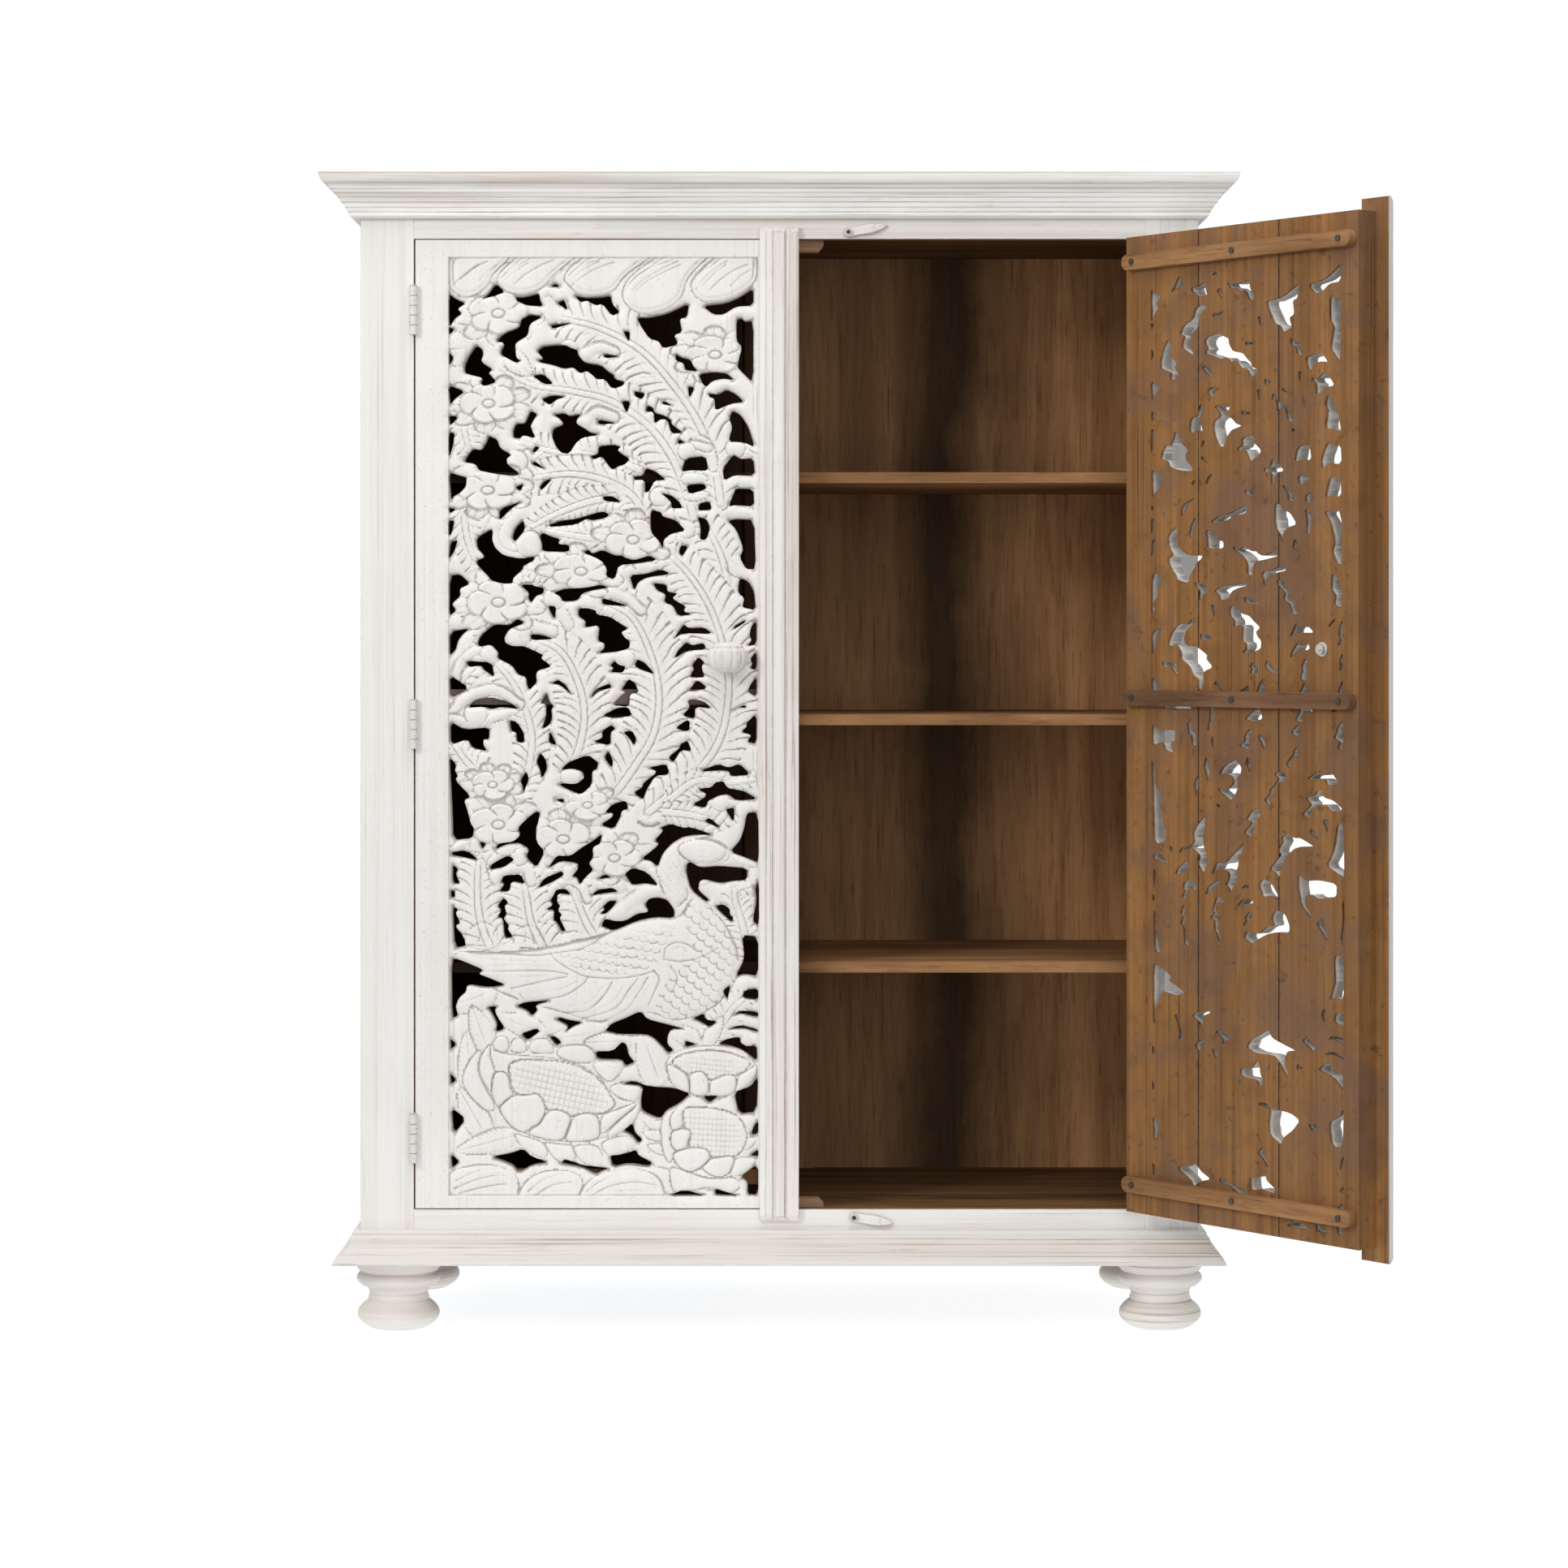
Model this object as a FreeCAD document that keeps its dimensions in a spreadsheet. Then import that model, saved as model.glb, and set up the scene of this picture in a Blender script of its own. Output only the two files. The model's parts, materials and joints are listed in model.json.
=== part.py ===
import FreeCAD, Part
import Sketcher
import os
import re

# Whitewashed book cabinet with two pierced and carved doors, in millimetres.
# +Z is up, the front faces -Y, and the origin is on the floor under the middle of the carcass.
# At rest the left door is closed and the right door stands open.

sizes = {
    # Carcass
    "carcass_width": 1094.0,
    "carcass_depth": 435.0,
    "side_thickness": 18.0,
    "top_thickness": 18.0,
    "base_thickness": 18.0,
    "floor_thickness": 15.0,
    "floor_drop": 1.0,
    "ceiling_thickness": 15.0,
    "ceiling_rise": 15.0,
    # Face frame
    "frame_thickness": 22.0,
    "stile_width": 69.5,
    "bottom_rail_show": 26.0,
    "opening_height": 1268.0,
    "top_rail_show": 26.0,
    # Back
    "panel_thickness": 9.0,
    "muntin_thickness": 17.0,
    "muntin_width": 98.0,
    # Shelves, by the height of their top faces above the floor
    "shelf_thickness": 14.0,
    "shelf_setback": 35.0,
    "top_shelf_height": 1125.5,
    "middle_shelf_height": 807.0,
    "bottom_shelf_height": 481.5,
    "cleat_width": 15.0,
    "cleat_height": 15.0,
    "cleat_setback": 12.0,
    # Mouldings
    "cornice_height": 56.0,
    "cornice_reach": 50.0,
    "plinth_height": 43.0,
    "plinth_reach": 34.0,
    # Turned feet and their studs
    "foot_height": 92.0,
    "foot_radius": 56.0,
    "foot_side_inset": 45.0,
    "foot_front_inset": 50.0,
    "foot_back_inset": 58.0,
    "stud_radius": 4.0,
    "stud_clearance": 0.05,
    "stud_depth": 40.0,
    "nut_radius": 8.0,
    "nut_thickness": 6.5,
    # Door slabs, with places along a door measured from its hinged edge
    "door_thickness": 28.6,
    "door_proud": 0.4,
    "door_side_gap": 1.5,
    "door_end_gap": 1.5,
    "left_door_width": 501.0,
    "right_door_width": 420.5,
    "left_first_joint": 158.5,
    "left_second_joint": 325.0,
    "right_first_joint": 136.5,
    "right_second_joint": 282.5,
    "right_open_angle": 126.9,
    "field_bottom_margin": 15.0,
    "field_height": 1228.5,
    "left_field_start": 43.0,
    "left_field_width": 406.5,
    "right_field_start": 46.5,
    "right_field_width": 350.0,
    # Meeting bars
    "bar_width": 51.0,
    "bar_thickness": 10.0,
    "bar_lap": 16.5,
    "bar_core_drop": 5.0,
    "left_bar_start": 450.5,
    "right_bar_start": 397.5,
    # Battens across the backs of the doors, by their middle heights
    "batten_height": 20.0,
    "batten_thickness": 12.0,
    "batten_inset": 3.0,
    "top_batten_level": 1394.0,
    "middle_batten_level": 830.0,
    "bottom_batten_level": 200.0,
    "batten_screw_inset": 20.0,
    "batten_screw_depth": 12.0,
    "screw_radius": 2.0,
    "screw_clearance": 0.05,
    "screw_head_radius": 4.0,
    "screw_head_thickness": 1.8,
    # Knobs and their bolts
    "knob_width": 54.0,
    "knob_height": 40.0,
    "knob_depth": 30.0,
    "knob_neck_radius": 12.0,
    "knob_neck_length": 9.0,
    "left_knob_place": 409.0,
    "right_knob_place": 359.5,
    "left_knob_level": 882.0,
    "right_knob_level": 893.0,
    "bolt_radius": 3.0,
    "bolt_clearance": 0.1,
    "bolt_grip": 22.0,
    "bolt_tail": 9.0,
    "washer_radius": 9.0,
    "washer_thickness": 1.6,
    "bolt_nut_radius": 6.5,
    "bolt_nut_thickness": 5.0,
    # Butt hinges, by their middle heights
    "hinge_length": 63.5,
    "knuckle_radius": 5.0,
    "knuckle_standoff": 0.8,
    "knuckle_gap": 0.3,
    "leaf_thickness": 1.2,
    "pin_radius": 2.5,
    "pin_clearance": 0.05,
    "pin_head_radius": 4.2,
    "pin_head_thickness": 1.5,
    "top_hinge_level": 1335.0,
    "middle_hinge_level": 794.5,
    "bottom_hinge_level": 254.0,
    "leaf_screw_inset": 11.0,
    "leaf_screw_depth": 16.0,
    "leaf_screw_head_radius": 3.1,
    "leaf_screw_head_thickness": 1.1,
    # Stop blocks behind the doors
    "stop_width": 116.0,
    "stop_depth": 23.0,
    "stop_clearance": 0.5,
    "top_stop_height": 29.0,
    "bottom_stop_height": 11.0,
    # Turn buttons on the rails
    "button_width": 14.0,
    "button_reach": 45.0,
    "button_thickness": 6.5,
    "button_tip_thickness": 9.5,
    "button_tip_length": 5.0,
    "button_clearance": 0.4,
    "top_button_place": 90.3,
    "top_button_drop": 18.0,
    "top_button_angle": 10.0,
    "bottom_button_place": 97.6,
    "bottom_button_rise": 16.0,
    "bottom_button_angle": 8.5,
    "button_screw_depth": 16.0,
    "button_screw_head_radius": 4.6,
    # Room past a face for cuts
    "overrun": 5.0,
}

doc = FreeCAD.newDocument("BookCabinet")
sheet = doc.addObject("Spreadsheet::Sheet", "Sizes")
for row, (alias, number) in enumerate(sizes.items(), start=1):
    sheet.set(f"A{row}", alias)
    sheet.set(f"B{row}", str(number))
    sheet.setAlias(f"B{row}", alias)
doc.recompute()

# Lines of the cabinet, as expressions over the sheet
front = "(-carcass_depth / 2)"
back = "(carcass_depth / 2)"
frame_back = f"({front} + frame_thickness)"
panel_face = f"({back} - panel_thickness)"
muntin_face = f"({back} - muntin_thickness)"
half_width = "(carcass_width / 2)"
inner_half = f"({half_width} - side_thickness)"
opening_half = f"({half_width} - stile_width)"
opening_bottom = "(foot_height + plinth_height + bottom_rail_show)"
opening_top = f"({opening_bottom} + opening_height)"
cornice_bottom = f"({opening_top} + top_rail_show)"
cabinet_top = f"({cornice_bottom} + cornice_height)"
top_underside = f"({cabinet_top} - top_thickness)"
floor_top = f"({opening_bottom} - floor_drop)"
ceiling_underside = f"({opening_top} + ceiling_rise)"

# Lines of a door, measured from its hinge's axis: back from the axis, and up from the floor
axis_standoff = "(knuckle_radius + knuckle_standoff)"
hinge_line = f"({front} - {axis_standoff})"
slab_front = f"({axis_standoff} - door_proud)"
slab_back = f"({slab_front} + door_thickness)"
batten_back = f"({slab_back} + batten_thickness)"
slab_bottom = f"({opening_bottom} + door_end_gap)"
slab_height = "(opening_height - 2 * door_end_gap)"

# A rod turned a quarter about one of these lies along +X, or runs towards the front
sideways = (0, 1, 0)
forwards = (1, 0, 0)

levels = ("top", "middle", "bottom")
pieces = {}


def size(alias):
    """A size of the sheet as a number."""
    return float(getattr(sheet, alias))


def linked(text):
    """An expression with the sheet's name put before each size."""
    return re.sub("[a-z_]+", lambda word: f"Sizes.{word[0]}" if word[0] in sizes else word[0], text)


def bind(item, **expressions):
    """Bind properties of an object to expressions over the sheet."""
    for name, text in expressions.items():
        item.setExpression(name, linked(text))
    return item


def place(item, x="0", y="0", z="0", axis=None, angle="90"):
    """Bind an object's Placement, with a turn about an axis where one is given."""
    for name, text in zip("xyz", (x, y, z)):
        item.setExpression(f"Placement.Base.{name}", linked(text))
    if axis:
        item.Placement.Rotation = FreeCAD.Rotation(FreeCAD.Vector(*axis), 1)
        item.setExpression("Placement.Rotation.Angle", linked(angle))
    return item


def keep(item, label):
    """Make an object one of the cabinet's pieces."""
    item.Label = label
    pieces[label] = item


def box(name, length, width, height, x="0", y="0", z="0"):
    item = bind(doc.addObject("Part::Box", name), Length=length, Width=width, Height=height)
    return place(item, x, y, z)


def rod(name, radius, height, x="0", y="0", z="0", axis=None):
    """A cylinder that stands on its place, or lies where an axis is given to turn it about."""
    item = bind(doc.addObject("Part::Cylinder", name), Radius=radius, Height=height)
    return place(item, x, y, z, axis)


def cut(name, base, tool):
    item = doc.addObject("Part::Cut", name)
    item.Base = base
    item.Tool = tool
    return item


def common(name, base, tool):
    item = doc.addObject("Part::Common", name)
    item.Base = base
    item.Tool = tool
    return item


def fused(name, items):
    item = doc.addObject("Part::MultiFuse", name)
    item.Shapes = items
    return item


def group(name, items):
    """Separate solids that make one piece."""
    item = doc.addObject("Part::Compound", name)
    item.Links = items
    return item


def mirrored(name, source):
    """The right-hand form of a left-hand piece."""
    item = doc.addObject("Part::Mirroring", name)
    item.Source = source
    item.Normal = (1, 0, 0)
    return item


def outline(body, role, corner_shares, across, up):
    """A closed sketch whose corners are shares of two sizes.

    A corner's third share is the radius, as a share of the size that runs up, of the arc to the
    next corner. It is positive where the arc bulges to the right of its way, and zero for a line.
    """
    sketch = body.newObject("Sketcher::SketchObject", f"{body.Name}_outline")
    plane = next(item for item in body.Origin.OriginFeatures if item.Role == role)
    sketch.AttachmentSupport = [(plane, "")]
    sketch.MapMode = "FlatFace"
    corners = [FreeCAD.Vector(x * size(across), y * size(up)) for x, y, _ in corner_shares]
    first_points = []
    for edge, (_, _, radius_share) in enumerate(corner_shares):
        start = corners[edge]
        end = corners[(edge + 1) % len(corners)]
        if radius_share:
            run = end - start
            radius = abs(radius_share) * size(up)
            bulge = radius - (radius**2 - (run.Length / 2) ** 2) ** 0.5
            outward = FreeCAD.Vector(run.y, -run.x).normalize() * bulge
            if radius_share > 0:
                sketch.addGeometry(Part.Arc(start, (start + end) / 2 + outward, end))
            else:
                sketch.addGeometry(Part.Arc(end, (start + end) / 2 - outward, start))
        else:
            sketch.addGeometry(Part.LineSegment(start, end))
        # An edge's first point is where it starts, but a clockwise arc is drawn from its end
        first_points.append(2 if radius_share < 0 else 1)
    for edge, (x_share, y_share, radius_share) in enumerate(corner_shares):
        point = first_points[edge]
        following = (edge + 1) % len(corners)
        meeting = (edge, 3 - point, following, first_points[following])
        sketch.addConstraint(Sketcher.Constraint("Coincident", *meeting))
        for kind, line, share, alias in (("DistanceX", -2, x_share, across), ("DistanceY", -1, y_share, up)):
            if share:
                place_constraint = Sketcher.Constraint(kind, -1, 1, edge, point, share * size(alias))
                held = sketch.addConstraint(place_constraint)
                sketch.setExpression(f"Constraints[{held}]", linked(f"{share} * {alias}"))
            else:
                sketch.addConstraint(Sketcher.Constraint("PointOnObject", edge, point, line))
        if radius_share:
            share = abs(radius_share)
            held = sketch.addConstraint(Sketcher.Constraint("Radius", edge, share * size(up)))
            sketch.setExpression(f"Constraints[{held}]", linked(f"{share} * {up}"))
    return sketch


def straight_body(name, role, corner_shares, across, up, length):
    """A body with one outline along its length, which runs up or back."""
    body = doc.addObject("PartDesign::Body", name)
    pad = body.newObject("PartDesign::Pad", f"{name}_pad")
    pad.Profile = outline(body, role, corner_shares, across, up)
    pad.Reversed = role == "XZ_Plane"
    bind(pad, Length=length)
    return body


def turned_body(name, corner_shares, across, up):
    """A body turned about the upright axis."""
    body = doc.addObject("PartDesign::Body", name)
    sketch = outline(body, "XZ_Plane", corner_shares, across, up)
    turning = body.newObject("PartDesign::Revolution", f"{name}_turning")
    turning.Profile = sketch
    turning.ReferenceAxis = (sketch, ["V_Axis"])
    turning.Angle = 360
    return body


def level_board(name, thickness, bottom, start):
    """A board between the sides, from start to the back panels, notched round the muntin."""
    blank = box(f"{name}_blank", f"2 * {inner_half}", f"{panel_face} - {start}", thickness,
                f"-{inner_half}", start, bottom)
    notch = box(f"{name}_notch", "muntin_width", "muntin_thickness", f"{thickness} + 2 * overrun",
                "-muntin_width / 2", muntin_face, f"{bottom} - overrun")
    return cut(name, blank, notch)


# Sides, back and top
frame_height = f"({top_underside} - foot_height)"
for side, start in (("left", f"-{half_width}"), ("right", inner_half)):
    panel = box(f"{side}_side", "side_thickness", "carcass_depth - frame_thickness", frame_height,
                start, frame_back, "foot_height")
    keep(panel, f"side_panel_{side}")
for side, start in (("left", f"-{inner_half}"), ("right", "muntin_width / 2")):
    panel = box(f"{side}_back", f"{inner_half} - muntin_width / 2", "panel_thickness", frame_height,
                start, panel_face, "foot_height")
    keep(panel, f"back_panel_{side}")
keep(box("muntin", "muntin_width", "muntin_thickness", frame_height,
         "-muntin_width / 2", muntin_face, "foot_height"), "back_muntin")
keep(box("lid", "carcass_width", "carcass_depth", "top_thickness",
         f"-{half_width}", front, top_underside), "top_board")
keep(level_board("floor", "floor_thickness", f"({floor_top} - floor_thickness)", frame_back), "floor_board")
keep(level_board("ceiling", "ceiling_thickness", ceiling_underside, frame_back), "ceiling_board")

# Turned feet: shares of the radius and the height, from the floor up
foot_shares = (
    (0, 0, 0), (0.66, 0, 0.214), (0.983, 0.195, 0.214), (0.72, 0.42, -0.18), (0.89, 0.62, 0.1),
    (0.89, 0.79, 0), (0.94, 0.81, 0), (1, 0.98, 0), (0.98, 1, 0), (0, 1, 0),
)
foot_reach = f"({half_width} - foot_side_inset)"
foot_places = (
    ("front_left", f"-{foot_reach}", f"{front} + foot_front_inset"),
    ("front_right", foot_reach, f"{front} + foot_front_inset"),
    ("back_left", f"-{foot_reach}", f"{back} - foot_back_inset"),
    ("back_right", foot_reach, f"{back} - foot_back_inset"),
)
stud_start = "(foot_height - stud_depth)"
hole_radius = "stud_radius + stud_clearance"
studs = []
stud_holes = []
for name, x, y in foot_places:
    turned = turned_body(f"{name}_turned", foot_shares, "foot_radius", "foot_height")
    bore = rod(f"{name}_bore", hole_radius, "stud_depth + overrun", z=stud_start)
    keep(place(cut(f"{name}_foot", turned, bore), x, y), f"foot_{name}")
    hole_length = "base_thickness + 2 * overrun"
    stud_holes.append(rod(f"{name}_hole", hole_radius, hole_length, x, y, "foot_height - overrun"))
    shank_length = "stud_depth + base_thickness + nut_thickness"
    shank = rod(f"{name}_shank", "stud_radius", shank_length, x, y, stud_start)
    nut = rod(f"{name}_nut", "nut_radius", "nut_thickness", x, y, "foot_height + base_thickness")
    studs.append(fused(f"{name}_stud", [shank, nut]))
keep(group("studs", studs), "foot_studs")
keep(cut("base", level_board("base_blank", "base_thickness", "foot_height", frame_back),
         group("stud_holes", stud_holes)), "base_board")

# Shelves on cleats
shelf_front = f"({front} + shelf_setback)"
cleat_front = f"({shelf_front} + cleat_setback)"
cleats = []
for name in levels:
    underside = f"({name}_shelf_height - shelf_thickness)"
    keep(level_board(f"{name}_shelf", "shelf_thickness", underside, shelf_front), f"shelf_{name}")
    for side, start in (("left", f"-{inner_half}"), ("right", f"{inner_half} - cleat_width")):
        cleats.append(box(f"{name}_{side}_cleat", "cleat_width", f"{panel_face} - {cleat_front}",
                          "cleat_height", start, cleat_front, f"{underside} - cleat_height"))
keep(group("cleats", cleats), "shelf_cleats")

# Mouldings: shares of the reach and the height, from the carcass outwards and up
cornice_shares = (
    (0, 0, 0), (0.15, 0, 0), (0.19, 0.03, 0.08), (0.28, 0.13, 0), (0.32, 0.15, -0.95),
    (0.64, 0.5, 0), (0.69, 0.52, -0.35), (0.83, 0.73, 0), (0.88, 0.75, 0.6),
    (1, 0.98, 0), (0.97, 1, 0), (0, 1, 0),
)
plinth_shares = (
    (0, 0, 0), (0.97, 0, 0), (1, 0.04, 0), (0.74, 0.37, 0), (0.68, 0.37, -0.95),
    (0.35, 0.82, 0), (0.3, 0.84, 0.14), (0.22, 1, 0), (0, 1, 0),
)
# Each run's side, its wall's length, whether it is mitred at its start and end, its place and its turn
moulding_runs = (
    ("front", "carcass_width", 1, 1, f"-{half_width}", front, "-90"),
    ("left", "carcass_depth", 0, 1, f"-{half_width}", back, "180"),
    ("right", "carcass_depth", 1, 0, half_width, front, "0"),
)
for label, corner_shares, bottom in (("cornice", cornice_shares, cornice_bottom),
                                     ("plinth", plinth_shares, "foot_height")):
    reach = f"{label}_reach"
    height = f"{label}_height"
    for side, wall, starts, ends, x, y, turn in moulding_runs:
        name = f"{label}_{side}"
        run = straight_body(f"{name}_run", "XZ_Plane", corner_shares, reach, height,
                            f"{wall} + {starts + ends} * {reach}")
        place(run, y=f"-{starts} * {reach}")
        # The mitres' solid is drawn along +X with its wide face outwards, and turned to lie along the run
        mitre = bind(doc.addObject("Part::Wedge", f"{name}_mitre"), Xmin=f"-{starts} * {reach}",
                     Xmax=f"{wall} + {ends} * {reach}", X2min="0", X2max=wall, Ymin=f"-{reach}",
                     Ymax="0", Zmin="0", Z2min="0", Zmax=height, Z2max=height)
        place(mitre, axis=(0, 0, 1))
        keep(place(common(name, run, mitre), x, y, bottom, (0, 0, 1), turn), name)

# Stop blocks behind the middle of the doors, with slanted corners
top_stop_shares = ((0.06, 0, 0), (0.94, 0, 0), (1, 0.28, 0), (1, 1, 0), (0, 1, 0), (0, 0.28, 0))
bottom_stop_shares = ((0, 0, 0), (1, 0, 0), (1, 0.4, 0), (0.94, 1, 0), (0.06, 1, 0), (0, 0.4, 0))
stop_front = f"({hinge_line} + {slab_back} + stop_clearance)"
for name, corner_shares, bottom in (("top", top_stop_shares, f"{ceiling_underside} - top_stop_height"),
                                    ("bottom", bottom_stop_shares, floor_top)):
    block = straight_body(f"{name}_stop", "XZ_Plane", corner_shares, "stop_width",
                          f"{name}_stop_height", "stop_depth")
    keep(place(block, "-stop_width / 2", stop_front, bottom), f"door_stop_{name}")

# Butt hinges, drawn for the left side from the hinge's axis, with the door closed
leaf_start = "(knuckle_radius + knuckle_gap)"
leaf_reach = f"({axis_standoff} + frame_thickness)"
knuckle_length = "((hinge_length - 4 * knuckle_gap) / 5)"
leaf_screw_line = f"(({leaf_start} + {leaf_reach}) / 2)"


def leaf(name, bottom, start, knuckles):
    """A leaf with its knuckles, bored for the pin, and countersunk for its screws."""
    plate = box(f"{name}_plate", "leaf_thickness", f"{leaf_reach} - {leaf_start}", "hinge_length",
                start, leaf_start, bottom)
    solids = [plate]
    for count in knuckles:
        z = f"{bottom} + {count} * ({knuckle_length} + knuckle_gap)"
        solids.append(rod(f"{name}_knuckle_{count}", "knuckle_radius", knuckle_length, z=z))
        solids.append(box(f"{name}_tab_{count}", "leaf_thickness", leaf_start, knuckle_length, start, z=z))
    bores = [rod(f"{name}_bore", "pin_radius + pin_clearance", "hinge_length + 2 * overrun",
                 z=f"{bottom} - overrun")]
    for count, z in enumerate(leaf_screw_levels(bottom)):
        bores.append(rod(f"{name}_screw_bore_{count}", "leaf_screw_head_radius + screw_clearance",
                         "leaf_thickness + 2 * overrun", f"{start} - overrun", leaf_screw_line, z, sideways))
    return cut(name, fused(f"{name}_solid", solids), group(f"{name}_bores", bores))


def leaf_screw_levels(bottom):
    """The heights of a leaf's three screws."""
    return (f"{bottom} + leaf_screw_inset", f"{bottom} + hinge_length / 2",
            f"{bottom} + hinge_length - leaf_screw_inset")


def leaf_screw(name, z, head, shank):
    """A countersunk screw that lies along the door's width, by where its head and shank start."""
    shank_length = "leaf_screw_depth - leaf_screw_head_thickness"
    return fused(name, [
        rod(f"{name}_head", "leaf_screw_head_radius", "leaf_screw_head_thickness",
            head, leaf_screw_line, z, sideways),
        rod(f"{name}_shank", "screw_radius", shank_length, shank, leaf_screw_line, z, sideways)])


frame_leaves = []
frame_screws = []
frame_cuts = []
door_leaves = []
door_screws = []
door_screw_holes = []
pins = []
door_leaf_face = "(door_side_gap - leaf_thickness)"
for level in levels:
    bottom = f"({level}_hinge_level - hinge_length / 2)"
    frame_leaves.append(leaf(f"{level}_frame_leaf", bottom, "-leaf_thickness", (0, 2, 4)))
    door_leaves.append(leaf(f"{level}_door_leaf", bottom, door_leaf_face, (1, 3)))
    frame_cuts.append(box(f"{level}_mortise", "leaf_thickness + overrun", "frame_thickness + 2 * overrun",
                          "hinge_length", "-leaf_thickness", f"{axis_standoff} - overrun", bottom))
    for count, z in enumerate(leaf_screw_levels(bottom)):
        name = f"{level}_{count}"
        hole = ("screw_radius + screw_clearance", "leaf_screw_depth + overrun")
        frame_screws.append(leaf_screw(f"{name}_frame_screw", z, "-leaf_screw_head_thickness",
                                       "-leaf_screw_depth"))
        frame_cuts.append(rod(f"{name}_frame_hole", *hole, "-leaf_screw_depth - screw_clearance",
                              leaf_screw_line, z, sideways))
        door_screws.append(leaf_screw(f"{name}_door_screw", z, door_leaf_face,
                                      f"{door_leaf_face} + leaf_screw_head_thickness"))
        door_screw_holes.append(rod(f"{name}_door_hole", *hole, f"{door_leaf_face} - overrun",
                                    leaf_screw_line, z, sideways))
    shank = rod(f"{level}_pin_shank", "pin_radius", "hinge_length", z=bottom)
    head = rod(f"{level}_pin_head", "pin_head_radius", "pin_head_thickness", z=f"{bottom} + hinge_length")
    pins.append(fused(f"{level}_pin", [shank, head]))


def both_sides(name, item):
    """A left-hand piece of the hinges at both sides of the opening."""
    left = place(group(f"{name}_left", [item]), f"-{opening_half}", hinge_line)
    right = place(mirrored(f"{name}_right", item), opening_half, hinge_line)
    return left, right


keep(group("frame_leaves", both_sides("frame_leaf_set", group("frame_leaf_set", frame_leaves))),
     "hinge_frame_leaves")
keep(group("frame_screws", both_sides("frame_screw_set", group("frame_screw_set", frame_screws))),
     "hinge_frame_screws")
keep(group("pins", both_sides("pin_set", group("pin_set", pins))), "hinge_pins")

# Face frame, mortised for the leaves and bored for the screws
left_cuts, right_cuts = both_sides("frame_cut_set", group("frame_cut_set", frame_cuts))
for side, start, cuts in (("left", f"-{half_width}", left_cuts), ("right", opening_half, right_cuts)):
    stile = box(f"{side}_stile", "stile_width", "frame_thickness", frame_height, start, front, "foot_height")
    keep(cut(f"{side}_stile_cut", stile, cuts), f"face_{side}_stile")

# Turn buttons on the rails, each with a raised tip, drawn pointing along +X from its screw
button_places = {
    "top": ("top_button_place", f"{cornice_bottom} - top_button_drop", (0, -1, 0), "top_button_angle"),
    "bottom": ("bottom_button_place", "foot_height + plinth_height + bottom_button_rise", (0, 1, 0),
               "bottom_button_angle"),
}
rails = {
    "top": (opening_top, f"{top_underside} - {opening_top}"),
    "bottom": ("foot_height", f"{opening_bottom} - foot_height"),
}
button_screws = []
for level, (x, z, axis, angle) in button_places.items():
    name = f"{level}_button"
    arm = box(f"{name}_arm", "button_reach", "button_thickness", "button_width",
              y="-button_clearance - button_thickness", z="-button_width / 2")
    tip = box(f"{name}_tip", "button_tip_length", "button_tip_thickness", "button_width",
              "button_reach - button_tip_length", "-button_clearance - button_tip_thickness",
              "-button_width / 2")
    heel = rod(f"{name}_heel", "button_width / 2", "button_thickness", y="-button_clearance", axis=forwards)
    nose = rod(f"{name}_nose", "button_width / 2", "button_tip_thickness",
               "button_reach", "-button_clearance", axis=forwards)
    bore = rod(f"{name}_bore", "screw_radius + screw_clearance", "button_thickness + 2 * overrun",
               y="overrun", axis=forwards)
    button = cut(name, fused(f"{name}_solid", [arm, tip, heel, nose]), bore)
    keep(place(button, x, front, z, axis, angle), f"turn_button_{level}")
    screw_back = f"{front} + button_screw_depth"
    shank_length = "button_screw_depth + button_clearance + button_thickness + screw_clearance"
    shank = rod(f"{name}_screw_shank", "screw_radius", shank_length, x, screw_back, z, forwards)
    head = rod(f"{name}_screw_head", "button_screw_head_radius", "screw_head_thickness", x,
               f"{front} - button_clearance - button_thickness - screw_clearance", z, forwards)
    button_screws.append(fused(f"{name}_screw", [shank, head]))
    rail_bottom, rail_height = rails[level]
    rail = box(f"{level}_rail", f"2 * {opening_half}", "frame_thickness", rail_height,
               f"-{opening_half}", front, rail_bottom)
    hole = rod(f"{level}_rail_hole", "screw_radius + screw_clearance", "button_screw_depth + overrun",
               x, f"{screw_back} + screw_clearance", z, forwards)
    keep(cut(f"{level}_rail_cut", rail, hole), f"face_{level}_rail")
keep(group("button_screws", button_screws), "turn_button_screws")

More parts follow.
